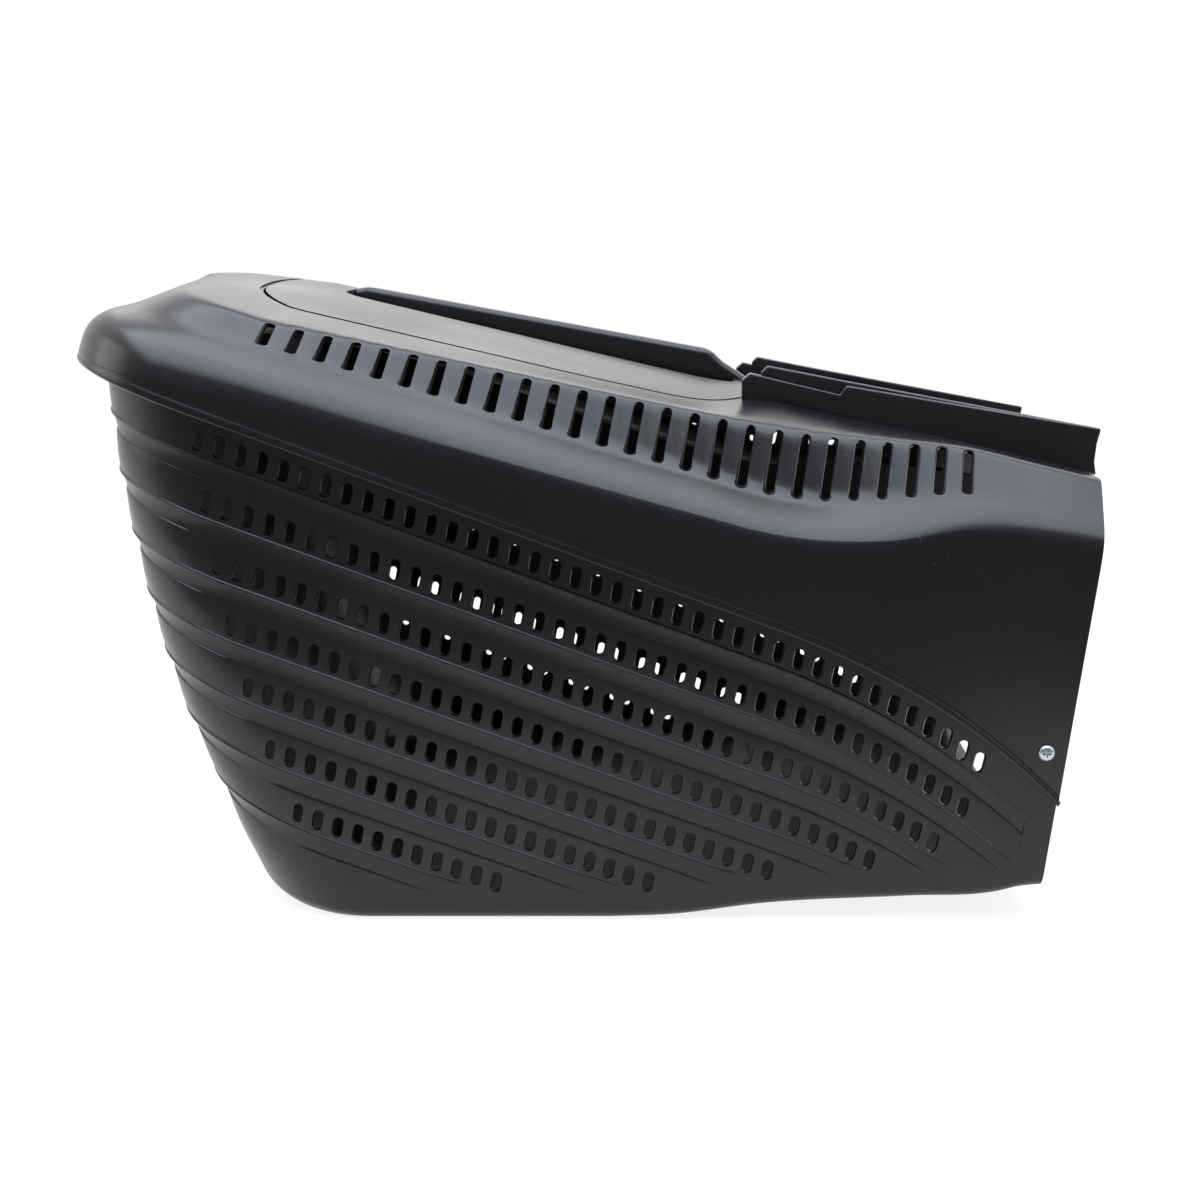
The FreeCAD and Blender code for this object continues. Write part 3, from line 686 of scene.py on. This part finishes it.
def rounded(points, roundings):
    """Section with rounded corners, as evenly laid out rows."""
    points = [np.array(point) for point in points]
    rows = [points[0]]
    exits = points[0]
    for k in range(1, len(points) - 1):
        before, here, after = points[k - 1], points[k], points[k + 1]
        reach_in = min(roundings[k], CORNER_SHARE * np.linalg.norm(here - before))
        reach_out = min(roundings[k], CORNER_SHARE * np.linalg.norm(after - here))
        start = here + (before - here) / max(np.linalg.norm(before - here), 1e-6) * reach_in
        end = here + (after - here) / max(np.linalg.norm(after - here), 1e-6) * reach_out
        for share in np.linspace(0, 1, RUN_ROWS[k - 1] + 2)[1:-1]:
            rows.append(exits + (start - exits) * share)
        for share in np.linspace(0, 1, ROUND_STEPS):
            rows.append((1 - share) ** 2 * start + 2 * share * (1 - share) * here + share ** 2 * end)
        exits = end
    for share in np.linspace(0, 1, RUN_ROWS[-1] + 2)[1:]:
        rows.append(exits + (points[-1] - exits) * share)
    return rows


def ridge_z(x):
    """Height of the crown along the middle of the box."""
    if x >= REAR_STATION:
        return crown_at(x)
    back = cover_lines["crown_edge"].back
    return blend(CROWN[0], CROWN_REAR, (x - REAR_STATION) / (back - REAR_STATION))


def cover_column(u):
    """One column of the outer skin, from the lip up to the middle of the crown."""
    room = cover_lines["brim_side"].point(u)[2] - skirt_point(u, 0.0)[2]
    tall = min(LIP_HEIGHT, 0.5 * room)
    points = [lip(u, share * tall, out * LIP_OUT) for share, out, _ in LIP_SHAPE]
    roundings = [rounding for _, _, rounding in LIP_SHAPE]
    for line in cover_lines.values():
        points.append(line.point(u))
        roundings.append(line.rounding)
    middle_x = max(points[-1][0], RIDGE_REAR_X)
    points.append((middle_x, 0.0, ridge_z(middle_x)))
    roundings.append(0.0)
    rows = rounded(points, roundings)
    if u <= 1.0:
        scallop_rows(rows, *(np.array(cover_lines[name].point(u)) for name in ("band_foot", "band_top")))
    return [tuple(row) for row in rows]


def scallop_rows(rows, foot, top):
    """Draw the band in at each vent, so that it swells out between them."""
    place = (foot[0] - FIRST_VENT_X) / VENT_PITCH
    if place < -0.5 or place > SCALLOP_END:
        return
    wave = 0.5 + 0.5 * math.cos(2 * math.pi * place)
    fade = min(smooth(place + 0.5), smooth((SCALLOP_END - place) / 2.0))
    along = top - foot
    length = np.linalg.norm(along[1:])
    inward = np.array([0.0, along[2], -along[1]]) / length
    for row in rows:
        share = np.dot(row[1:] - foot[1:], along[1:]) / length ** 2
        below = share + SCALLOP_MARGIN
        above = 1 + SCALLOP_MARGIN - share
        if below > 0 and above > 0:
            window = smooth(below / SCALLOP_FOOT_FADE) * smooth(above / SCALLOP_TOP_FADE)
            row += inward * (SCALLOP * wave * fade * window)


front_share = (MOUTH_X - LAST_VENT_X) / (MOUTH_X - REAR_STATION)
vent_columns = VENTS * 8
cover_path = np.concatenate([np.linspace(0, front_share, 22), np.linspace(front_share, 1, vent_columns)[1:],
                             path_places(0, 5, 30, 12)])
outer_columns = both_sides([cover_column(u) for u in cover_path])
print("cover skin is", len(outer_columns), "columns of", len(outer_columns[0]), "rows")

# %% [markdown]
# The skin gets its wall from a Solidify modifier, which keeps an even thickness round the brim. A closed copy
# of the skin is kept as a body: what it shares with an upright prism is the handle panel, flush all over.

# %% Cover shell
INSIDE = Vector((0, 0, 150)) * MM
HUB = Vector((0, 0, 120)) * MM


def sheet(name, columns):
    """Skin through columns of equal length, facing away from the inside of the box."""
    rows = len(columns[0])
    points = [point for column in columns for point in column]
    faces = []
    for c in range(len(columns) - 1):
        for r in range(rows - 1):
            faces.append((c * rows + r, (c + 1) * rows + r, (c + 1) * rows + r + 1, c * rows + r + 1))
    piece = reshape(new_piece(name, points, faces), merge_doubles)
    if sum(face.area * face.normal.dot(face.center - INSIDE) for face in piece.data.polygons) < 0.0:
        piece.data.flip_normals()
    return piece


def close_to_hub(shape):
    """Close a skin with a fan of faces from its edge to a point inside the box."""
    hub = shape.verts.new(HUB)
    for edge in [edge for edge in shape.edges if edge.is_boundary]:
        shape.faces.new((edge.verts[0], edge.verts[1], hub))


cover = sheet("cover_shell", outer_columns)
body = reshape(sheet("cover_body", outer_columns), close_to_hub)
thick = cover.modifiers.new("wall", "SOLIDIFY")
thick.thickness = WALL * MM
thick.offset = -1.0
thick.use_even_offset = True
settle(cover)
print("cover shell has", len(cover.data.polygons), "faces")

# %% [markdown]
# The handle panel sits in a pocket of the crown with a thin gap all round. The pocket and the panel are
# upright prisms on the same rounded outline, one grown by the gap, and both stand on a floor that slopes with
# the crown. The edge of the pocket is a little lower than the crown, which makes the gap read as a groove.

# %% Pocket and panel outline
PANEL_HALF = 118.0
PANEL_REAR = BACK_X + 93.0
PANEL_FRONT = MOUTH_X - 207.0
PANEL_CORNER_R = 32.0
PANEL_GAP = 1.7
LEDGE_WIDTH = 1.8
LEDGE_DROP = 1.1
LEDGE_ABOVE_FLOOR = 4.0
POCKET_DEPTH = 26.0
SKY = 460.0
POCKET_SLOPE = (crown_at(BLEND_START) - CROWN[0]) / (BLEND_START - REAR_STATION)


def pocket_z(x, above=0.0):
    return CROWN[0] + POCKET_SLOPE * (x - REAR_STATION) - POCKET_DEPTH + above


def rounded_plan(x0, x1, half, radius, steps=9):
    """Rounded rectangle in plan."""
    centres = [(x1 - radius, half - radius, 0), (x0 + radius, half - radius, 90),
               (x0 + radius, -half + radius, 180), (x1 - radius, -half + radius, 270)]
    outline = []
    for cx, cy, start in centres:
        for k in range(steps):
            turn = math.radians(start + 90.0 * k / (steps - 1))
            outline.append((cx + radius * math.cos(turn), cy + radius * math.sin(turn)))
    return outline


def prism(name, outline, above=0.0):
    """Upright prism from a height above the pocket's sloping floor to well over the box."""
    floor_loop = [(x, y, pocket_z(x, above)) for x, y in outline]
    return loops_mesh(name, [floor_loop, [(x, y, SKY) for x, y in outline]])


def panel_outline(grow):
    return rounded_plan(PANEL_REAR - grow, PANEL_FRONT + grow, PANEL_HALF + grow, PANEL_CORNER_R + grow)


tray = prism("tray", panel_outline(PANEL_GAP + WALL), -WALL)
carve(tray, copy_of(body), "INTERSECT")
carve(cover, tray, "UNION")
carve(cover, prism("pocket", panel_outline(PANEL_GAP)))
ledge = prism("ledge", panel_outline(PANEL_GAP + LEDGE_WIDTH), LEDGE_ABOVE_FLOOR)
lowered = copy_of(body)
for vertex in lowered.data.vertices:
    vertex.co.z -= LEDGE_DROP * MM
carve(ledge, lowered)
carve(cover, ledge)
print("cover with its pocket has", len(cover.data.polygons), "faces")

# %% [markdown]
# Two rails stand on the crown and run out past the mouth. The inner half of each is tall all along, and the
# outer half starts as a low ledge with a step. They are bars with rounded edges, made by a Bevel modifier,
# hollow from below and joined to the cover because they are one moulding.

# %% Rails
RAIL_Y = 113.0
RAIL_HALF = 7.0
RAIL_START = MOUTH_X - 221.0
RAIL_STEP = MOUTH_X - 157.0
RAIL_TALL_START = MOUTH_X - 209.0
RAIL_EDGE_R = 1.2
RAIL_HOLLOW_EDGE_R = 0.5
RAIL_ROOT = 1.6
RAIL_HOLLOW_ROOT = 30.0
RAIL_FOOT_BACK = 1.8
RAIL_FOOT_POINTS = 14
# Tops in side view: a place, a shift along the length from it, and a height above the crown at that place.
LEDGE_TOP = ((RAIL_START, 0.0, 3.5), (RAIL_START, 5.0, 8.0), (RAIL_STEP, -4.0, 10.0), (RAIL_STEP, 0.0, 15.5))
TALL_TOP = ((RAIL_TALL_START, 0.0, 11.0), (RAIL_TALL_START, 4.0, 15.0), (RAIL_STEP, 0.0, 18.0))
# Front end: back from the foremost point and up from the crown.
RAIL_END = ((0.0, 26.0), (2.2, 17.0), (3.2, 6.0))
BEVEL_FROM_DEG = 20.0


def bar(name, profile, y0, y1, bevel, segments=3):
    """Bar on a profile in length and height, with rounded edges."""
    piece = loops_mesh(name, [[(x, y0, z) for x, z in profile], [(x, y1, z) for x, z in profile]])
    edge = piece.modifiers.new("edges", "BEVEL")
    edge.width = bevel * MM
    edge.segments = segments
    edge.limit_method = "ANGLE"
    edge.angle_limit = math.radians(BEVEL_FROM_DEG)
    return settle(piece)


def surface_z(x, y):
    """Height of the cover's outer skin at a place on its top, before its corners are rounded."""
    lines = [(line.half_at(x), line.z_at(x)) for line in cover_lines.values()] + [(0.0, crown_at(x))]
    halves, heights = zip(*reversed(lines))
    return float(np.interp(y, halves, heights))


def above_crown(shape, inset=0.0):
    """Side view of a top edge, from its places, shifts and heights."""
    return [(place + inset + shift, crown_at(place + inset) + above - inset) for place, shift, above in shape]


def rail_profile(top, inset, root):
    """Side view of a bar: its top, a shallow S at its end, and its foot a depth under the skin."""
    end = MOUTH_X - inset
    end_top = crown_at(end) - inset
    front = [(end - back, end_top + above) for back, above in RAIL_END]
    foot_line = np.linspace(end - RAIL_FOOT_BACK, top[0][0] + inset, RAIL_FOOT_POINTS)
    foot = [(x, surface_z(x, RAIL_Y + RAIL_HALF) - root) for x in foot_line]
    return above_crown(top, inset) + front + foot


for side in (-1, 1):
    outer, middle, inner = (side * (RAIL_Y + reach) for reach in (RAIL_HALF, 0.0, -RAIL_HALF))
    for top, edge in ((LEDGE_TOP, outer), (TALL_TOP, middle)):
        profile = rail_profile(top, 0.0, RAIL_ROOT)
        carve(cover, bar("rail", profile, *sorted((edge, inner)), RAIL_EDGE_R), "UNION")
    hollow = sorted((outer - side * WALL, inner + side * WALL))
    profile = rail_profile(LEDGE_TOP, WALL, RAIL_HOLLOW_ROOT)
    carve(cover, bar("rail_hollow", profile, *hollow, RAIL_HOLLOW_EDGE_R))
print("cover with rails has", len(cover.data.polygons), "faces")

# %% [markdown]
# The vents repeat along the band but grow longer towards the mouth, so each point carries its own reach and
# the tilt of the band there, and the same node tree scales and tilts the cutter by them. The cutter flares at
# the skin, which leaves the rounded rim and the small arch over each vent.

# %% Vents
VENT_WIDTH = 4.9
VENT_BASE = 30.0
VENT_END_POINTS = 9
VENT_FLARE = ((-4.0, 3.0), (-0.2, 1.45), (0.4, 0.85), (1.2, 0.3), (2.0, 0.0), (9.0, 0.0))
VENT_LEAN = math.radians(10.0)
VENT_MARGIN = 1.2
vent_points = []
vent_reach = []
vent_tilt = []
foot, top = cover_lines["band_foot"], cover_lines["band_top"]
for index in range(VENTS):
    x = FIRST_VENT_X + VENT_PITCH * index
    rise = top.z_at(x) - foot.z_at(x)
    run = foot.half_at(x) - top.half_at(x)
    length = math.hypot(rise, run) - 2 * VENT_MARGIN
    vent_points.append((x, -(foot.half_at(x) + top.half_at(x)) / 2, (foot.z_at(x) + top.z_at(x)) / 2))
    vent_reach.append((1.0, 1.0, length / VENT_BASE))
    vent_tilt.append(-math.atan2(run, rise))
vents = new_piece("vents", vent_points, [])
reach = vents.data.attributes.new("reach", "FLOAT_VECTOR", "POINT")
reach.data.foreach_set("vector", [value for vector in vent_reach for value in vector])
tilt = vents.data.attributes.new("tilt", "FLOAT", "POINT")
tilt.data.foreach_set("value", vent_tilt)
cutter = slot_cutter("vent_slot", VENT_WIDTH, VENT_BASE, VENT_END_POINTS, VENT_FLARE)
cuts = repeat(vents, repeat_tree("Vent band", False), {"Cutter": cutter, "Lean": VENT_LEAN})
bpy.data.objects.remove(cutter)
carve(cover, cuts)
print("cover has", VENTS, "vents a side and", len(cover.data.polygons), "faces")

# %% [markdown]
# The handle panel is cut from the closed body of the cover, so it is flush with it. A trough on each side of
# the grip makes room for the fingers, and the grip itself is a rounded bar that rises towards the mouth.

# %% Handle panel
TROUGH_HALF = 48.0
TROUGH_REAR = PANEL_REAR + 36.0
TROUGH_FRONT = PANEL_FRONT - 18.0
TROUGH_CORNER_R = 14.0
GRIP_HALF = 13.0
GRIP_EDGE_R = 4.5
GRIP_REAR = TROUGH_REAR - WALL
GRIP_FRONT = TROUGH_FRONT + WALL
GRIP_TAIL = 10.0
GRIP_ROOT = 1.0
GRIP_TOP = ((GRIP_REAR, 0.0, -2.5), (GRIP_REAR, 10.0, 0.5), (GRIP_FRONT - 19.0, 0.0, 15.5),
            (GRIP_FRONT - 10.0, 0.0, 9.0), (GRIP_FRONT, 0.0, 5.0), (GRIP_FRONT + GRIP_TAIL, 0.0, 0.5))
panel = prism("panel_shell", panel_outline(0.0))
carve(panel, body, "INTERSECT")
carve(panel, prism("trough", rounded_plan(TROUGH_REAR, TROUGH_FRONT, TROUGH_HALF, TROUGH_CORNER_R), WALL))
grip_profile = [(GRIP_REAR, pocket_z(GRIP_REAR, GRIP_ROOT))] + above_crown(GRIP_TOP)
grip_profile.append((GRIP_FRONT + GRIP_TAIL, pocket_z(GRIP_FRONT, GRIP_ROOT)))
carve(panel, bar("grip", grip_profile, -GRIP_HALF, GRIP_HALF, GRIP_EDGE_R, 5), "UNION")
print("panel has", len(panel.data.polygons), "faces")

# %% [markdown]
# The screws are zinc-plated pan heads with a cross recess: two at the mouth, and four under the handle panel.
# One screw is a turned profile with a cross cut into its head, and a node tree sets it on each seat.

# %% Screws
HEAD_R = 5.0
HEAD_HEIGHT = 3.0
SHANK_R = 2.0
SCREW_LENGTH = 13.0
CROSS_HALF = 2.9
CROSS_WIDTH = 0.55
CROSS_DEPTH = 1.7
CROSS_TAPER = 0.55
CROSS_OVER = 0.3
THREADS = 9
THREAD_PITCH = 1.2
THREAD_DEPTH = 0.45
ROUND_POINTS = 32
# Radius and height on the turned profile of the head and of the tip.
HEAD_PROFILE = ((0.02, HEAD_HEIGHT), (2.2, HEAD_HEIGHT - 0.12), (3.8, HEAD_HEIGHT - 0.6),
                (4.7, HEAD_HEIGHT - 1.4), (HEAD_R, 0.7), (HEAD_R - 0.15, 0.0), (SHANK_R, 0.0))
TIP_PROFILE = ((0.9, -SCREW_LENGTH + 0.8), (0.02, -SCREW_LENGTH))


def screw_blank(name):
    """Pan head and shank about Z, with the seat of the head at the origin and the shank going down."""
    profile = list(HEAD_PROFILE)
    for thread in range(THREADS):
        depth = -1.0 - thread * THREAD_PITCH
        profile += [(SHANK_R, depth), (SHANK_R - THREAD_DEPTH, depth - THREAD_PITCH / 2)]
    profile += TIP_PROFILE
    turns = [2 * math.pi * k / ROUND_POINTS for k in range(ROUND_POINTS)]
    blank = loops_mesh(name, [[(radius * math.cos(turn), radius * math.sin(turn), z) for turn in turns]
                              for radius, z in profile])
    for across in (0, 1):
        wide, narrow = (CROSS_HALF, CROSS_WIDTH) if across else (CROSS_WIDTH, CROSS_HALF)
        top = [(wide, narrow), (-wide, narrow), (-wide, -narrow), (wide, -narrow)]
        floor = [(x * CROSS_TAPER, y * CROSS_TAPER, HEAD_HEIGHT - CROSS_DEPTH) for x, y in top]
        carve(blank, loops_mesh("recess", [floor, [(x, y, HEAD_HEIGHT + CROSS_OVER) for x, y in top]]))
    return blank


MOUTH_SCREW_Z = 108.0
MOUTH_SCREW_X = mouth_x(MOUTH_SCREW_Z) - 12.5
HANDLE_SCREW_Y = 80.0
HANDLE_SCREW_INSET = 50.0


def screw_tree():
    """Tree that sets a screw on each point, turned by the point's own angles."""
    tree, given = new_tree("Screws", Screw="Object")
    shape = add(tree, "GeometryNodeObjectInfo", Object=given["Screw"]).outputs["Geometry"]
    way = add(tree, "GeometryNodeInputNamedAttribute", {"data_type": "FLOAT_VECTOR"}, Name="turn")
    placed = add(tree, "GeometryNodeInstanceOnPoints", Points=given["Geometry"], Instance=shape,
                 Rotation=way.outputs["Attribute"])
    real = add(tree, "GeometryNodeRealizeInstances", Geometry=placed.outputs[0]).outputs[0]
    return end_tree(tree, real, given["Finish"])


screw_nodes = screw_tree()


def set_screws(name, places, blank, finish):
    """Screws at the given seats, each turned so that its head points the given way."""
    piece = new_piece(name, [seat for seat, _ in places], [])
    turns = piece.data.attributes.new("turn", "FLOAT_VECTOR", "POINT")
    angles = [angle for _, way in places for angle in Vector(way).to_track_quat("Z", "Y").to_euler()]
    turns.data.foreach_set("vector", angles)
    return repeat(piece, screw_nodes, {"Screw": blank, "Finish": finish})


# %% [markdown]
# The mouldings are black polypropylene, straight from the mould: a satin skin that looks nearly black face on
# and pale at a glancing angle. A fine spark-eroded grain breaks up the gloss, broad clouds vary it a little,
# and a few pale scuffs show where the box gets knocked. The screws are bright zinc plate over steel: a cool
# grey mirror, dulled by fine crystals. Both could be one flat colour each, but then every lamp would show as
# a clean stripe, so noise textures carry these small changes.

# %% Colour and shading helpers
def linear(code):
    """Linear colour of an sRGB hex value."""
    channels = [int(code[k:k + 2], 16) / 255 for k in (1, 3, 5)]
    return [c / 12.92 if c <= 0.04045 else ((c + 0.055) / 1.055) ** 2.4 for c in channels] + [1.0]


def grains_per_metre(size_mm):
    """Texture scale for a feature of that size, since Object coordinates are in metres."""
    return 1.0 / (size_mm * MM)


def blank_material(name):
    """Material with an empty node tree."""
    finish = bpy.data.materials.new(name)
    finish.use_nodes = True
    tree = finish.node_tree
    tree.nodes.clear()
    return finish, tree


CLOUD_MM = 90.0
SPECK_MM = 2.6
PATCH_MM = 55.0
# The real grain is about 0.2 mm, too fine for the picture, so it is drawn as coarse as it needs to show.
GRAIN_MM = 1.1
GRAIN_DEPTH_MM = 0.2
CRYSTAL_MM = 1.5
POLYPROPYLENE_IOR = 1.49


def moulded_polypropylene(name, colour, scuff_colour, roughness, scuff_amount):
    """Satin black skin with grain, clouds in its gloss, and a few pale scuffs."""
    finish, tree = blank_material(name)
    place = add(tree, "ShaderNodeTexCoord").outputs["Object"]
    noises = []
    for size, detail in ((CLOUD_MM, 3.0), (GRAIN_MM, 2.0), (SPECK_MM, 4.0), (PATCH_MM, 2.0)):
        noise = add(tree, "ShaderNodeTexNoise", Vector=place, Scale=grains_per_metre(size), Detail=detail)
        noises.append(noise.outputs["Fac"])
    clouds, grain, specks, patches = noises
    few = add(tree, "ShaderNodeMapRange", Value=specks, **{"From Min": 0.68, "From Max": 0.76}).outputs[0]
    where = add(tree, "ShaderNodeMapRange", Value=patches, **{"From Min": 0.55, "From Max": 0.7}).outputs[0]
    both = add(tree, "ShaderNodeMath", {"operation": "MULTIPLY"}, i0=few, i1=where).outputs[0]
    scuffs = add(tree, "ShaderNodeMath", {"operation": "MULTIPLY"}, i0=both, i1=scuff_amount).outputs[0]
    base = add(tree, "ShaderNodeMix", {"data_type": "RGBA"}, Factor=scuffs, A=linear(colour),
               B=linear(scuff_colour))
    rough = add(tree, "ShaderNodeMapRange", Value=clouds,
                **{"From Min": 0.3, "From Max": 0.7, "To Min": roughness - 0.04, "To Max": roughness + 0.05})
    bump = add(tree, "ShaderNodeBump", Strength=0.10, Distance=GRAIN_DEPTH_MM * MM, Height=grain).outputs[0]
    shader = add(tree, "ShaderNodeBsdfPrincipled", Normal=bump, IOR=POLYPROPYLENE_IOR,
                 Roughness=rough.outputs[0], **{"Base Color": base.outputs["Result"]})
    add(tree, "ShaderNodeOutputMaterial", Surface=shader.outputs[0])
    return finish


def zinc_plate():
    """Bright zinc over steel: a cool grey mirror, dulled by fine crystals."""
    finish, tree = blank_material("bright_zinc_plate")
    place = add(tree, "ShaderNodeTexCoord").outputs["Object"]
    crystal = add(tree, "ShaderNodeTexNoise", Vector=place, Scale=grains_per_metre(CRYSTAL_MM), Detail=3.0)
    rough = add(tree, "ShaderNodeMapRange", Value=crystal.outputs["Fac"], **{"To Min": 0.22, "To Max": 0.42})
    shader = add(tree, "ShaderNodeBsdfPrincipled", Metallic=1.0, Roughness=rough.outputs[0],
                 **{"Base Color": linear("#c3c9cc")})
    add(tree, "ShaderNodeOutputMaterial", Surface=shader.outputs[0])
    return finish


# %% Finishes
cover_finish = moulded_polypropylene("moulded_polypropylene_cover", "#101114", "#5c5f66", 0.26, 0.5)
tub_finish = moulded_polypropylene("moulded_polypropylene_tub", "#121316", "#4a4d52", 0.30, 0.25)
panel_finish = moulded_polypropylene("moulded_polypropylene_panel", "#101114", "#4a4d52", 0.25, 0.2)
zinc = zinc_plate()
print("finishes:", [m.name for m in (cover_finish, tub_finish, panel_finish, zinc)])

# %% [markdown]
# The mouth screws stand square to the leaning sides of the cover. The handle screws come from below, through
# the sloping floor of the pocket. A piece of bare points carries the seats, and the tree sets the screws.

# %% Screws in place
screw_one = screw_blank("screw_blank")
draft = math.atan(TUB_DRAFT)
mouth_places = []
for side in (-1, 1):
    seat = (MOUTH_SCREW_X, side * mouth_half(MOUTH_SCREW_Z), MOUTH_SCREW_Z)
    mouth_places.append((seat, (0, side * math.cos(draft), -math.sin(draft))))
mouth_screws = set_screws("mouth_screw_heads", mouth_places, screw_one, zinc)
pocket_normal = Vector((-POCKET_SLOPE, 0, 1)).normalized()
handle_places = []
for x in (PANEL_REAR + HANDLE_SCREW_INSET, PANEL_FRONT - HANDLE_SCREW_INSET):
    for y in (-HANDLE_SCREW_Y, HANDLE_SCREW_Y):
        handle_places.append((Vector((x, y, pocket_z(x))) - pocket_normal * WALL, -pocket_normal))
handle_screws = set_screws("handle_screw_heads", handle_places, screw_one, zinc)
bpy.data.objects.remove(screw_one)
print("screws:", len(mouth_places), "at the mouth and", len(handle_places), "under the handle")

# %% [markdown]
# Each piece now takes its finish, rides on the frame's one body and hides the node that it stands for.

# %% Dress the frame
for piece, node, slot, finish in (
    (tub, "lower_tub", "tub_plastic", tub_finish),
    (cover, "upper_cover", "cover_plastic", cover_finish),
    (panel, "handle_panel", "handle_plastic", panel_finish),
    (mouth_screws, "mouth_screws", "zinc_steel", zinc),
    (handle_screws, "handle_screws", "zinc_steel", zinc),
):
    piece.data.materials.clear()
    piece.data.materials.append(finish)
    soften(piece)
    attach(piece, "root")
    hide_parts(node)
    piece.data.calc_loop_triangles()
    print(piece.name, "stands for", node, "with", len(piece.data.loop_triangles), "triangles")

# %% [markdown]
# A sheet of white paper under the box, a white backdrop behind it and a darker room behind the camera: the
# look of a product photo. Black plastic gets its shape from what it mirrors. The top mirrors the backdrop and
# turns pale, and the sides mirror the room and stay black. Paper and backdrop are white to the camera by
# their own colour, so no lamp has to be turned up for them.

# %% Floor and backdrop
scene = bpy.context.scene
scene.view_settings.view_transform = "Standard"
PAPER_FRONT = -560.0
PAPER_SIDE = 6000.0
PAPER_BACK = 8000.0
PAPER_GLOW = 0.86
paper_corners = [(-PAPER_SIDE, PAPER_FRONT, 0), (PAPER_SIDE, PAPER_FRONT, 0), (PAPER_SIDE, PAPER_BACK, 0),
                 (-PAPER_SIDE, PAPER_BACK, 0)]
floor = new_piece("floor", paper_corners, [(0, 1, 2, 3)])
paper, tree = blank_material("white_paper_floor")
# 1 for rays from the camera, also by way of a mirror or through glass.
ray = add(tree, "ShaderNodeLightPath").outputs
mirrored = add(tree, "ShaderNodeMath", {"operation": "MAXIMUM"}, i0=ray["Is Glossy Ray"],
               i1=ray["Is Transmission Ray"])
seen = add(tree, "ShaderNodeMath", {"operation": "MAXIMUM"}, i0=ray["Is Camera Ray"], i1=mirrored.outputs[0])
plain = add(tree, "ShaderNodeBsdfDiffuse", Color=linear("#e8e8e8")).outputs[0]
faint = add(tree, "ShaderNodeBsdfDiffuse", Color=linear("#7a7a7a")).outputs[0]
glow = add(tree, "ShaderNodeEmission", Color=linear("#ffffff"), Strength=PAPER_GLOW).outputs[0]
bright = add(tree, "ShaderNodeAddShader", i0=faint, i1=glow).outputs[0]
paper_look = add(tree, "ShaderNodeMixShader", i0=seen.outputs[0], i1=plain, i2=bright).outputs[0]
add(tree, "ShaderNodeOutputMaterial", Surface=paper_look)
floor.data.materials.append(paper)

ROOM_LIGHT = 0.24
BACKDROP_LIGHT = 1.0
TOWARDS_BACKDROP = (0.0, 0.8, 0.6)
world = bpy.data.worlds.new("backdrop_and_room")
scene.world = world
world.use_nodes = True
tree = world.node_tree
tree.nodes.clear()
ray = add(tree, "ShaderNodeLightPath").outputs["Is Camera Ray"]
way = add(tree, "ShaderNodeTexCoord").outputs["Generated"]
facing = add(tree, "ShaderNodeVectorMath", {"operation": "DOT_PRODUCT"}, i0=way, i1=TOWARDS_BACKDROP)
level = add(tree, "ShaderNodeMapRange", {"interpolation_type": "SMOOTHSTEP"}, Value=facing.outputs["Value"],
            **{"From Min": -0.35, "From Max": 0.45, "To Min": ROOM_LIGHT, "To Max": BACKDROP_LIGHT})
room = add(tree, "ShaderNodeBackground", Color=linear("#ffffff"), Strength=level.outputs[0]).outputs[0]
white = add(tree, "ShaderNodeBackground", Color=linear("#ffffff"), Strength=BACKDROP_LIGHT).outputs[0]
mixed = add(tree, "ShaderNodeMixShader", i0=ray, i1=room, i2=white).outputs[0]
add(tree, "ShaderNodeOutputWorld", Surface=mixed)
print("backdrop", BACKDROP_LIGHT, "and room", ROOM_LIGHT)

# %% [markdown]
# One broad softbox above draws the light band on the roll of the brim: its place decides which slope of the
# roll mirrors it. A weak one behind lifts the crown, and two at the sides keep the ends from going black.

# %% Lamps
MIDDLE = (0.0, 0.0, 0.2)


def soft_lamp(name, place, size, power, colour="#ffffff"):
    """Rectangular lamp at a place in metres that faces the middle of the box."""
    lamp = bpy.data.lights.new(name, "AREA")
    lamp.shape = "RECTANGLE"
    lamp.size, lamp.size_y = size
    lamp.energy = power
    lamp.color = linear(colour)[:3]
    rig = show(name, lamp)
    rig.location = place
    rig.rotation_euler = (Vector(MIDDLE) - Vector(place)).to_track_quat("-Z", "Y").to_euler()


soft_lamp("top_softbox", (0.0, -0.33, 1.75), (2.4, 1.85), 52.0, "#e6eeff")
soft_lamp("back_softbox", (0.0, 1.7, 1.6), (3.0, 1.2), 12.0)
soft_lamp("left_softbox", (-1.6, -0.3, 0.8), (0.8, 1.0), 4.0)
soft_lamp("right_softbox", (1.7, -0.5, 0.9), (0.8, 1.0), 5.0)

# %% [markdown]
# The camera stands where the photographer did: almost square to the side, a little above the box, looking
# slightly down. The lens is given by the focal length in pixels of the 1200 pixel frame.

# %% Camera
FRAME_PX = 1200.0
FOCAL_PX = 1411.0
AXIS_PX = 714.0
CAMERA_PLACE = (67.0, -990.0, 357.0)
CAMERA_DOWN_DEG = 11.2
camera_data = bpy.data.cameras.new("camera")
camera_data.sensor_width = 36.0
camera_data.lens = camera_data.sensor_width * FOCAL_PX / FRAME_PX
camera_data.shift_x = (FRAME_PX / 2 - AXIS_PX) / FRAME_PX
camera = show("camera", camera_data)
camera.location = [MM * c for c in CAMERA_PLACE]
camera.rotation_euler = (math.radians(90.0 - CAMERA_DOWN_DEG), 0.0, 0.0)
scene.camera = camera
print("lens", round(camera_data.lens, 2), "mm, shift", round(camera_data.shift_x, 4))
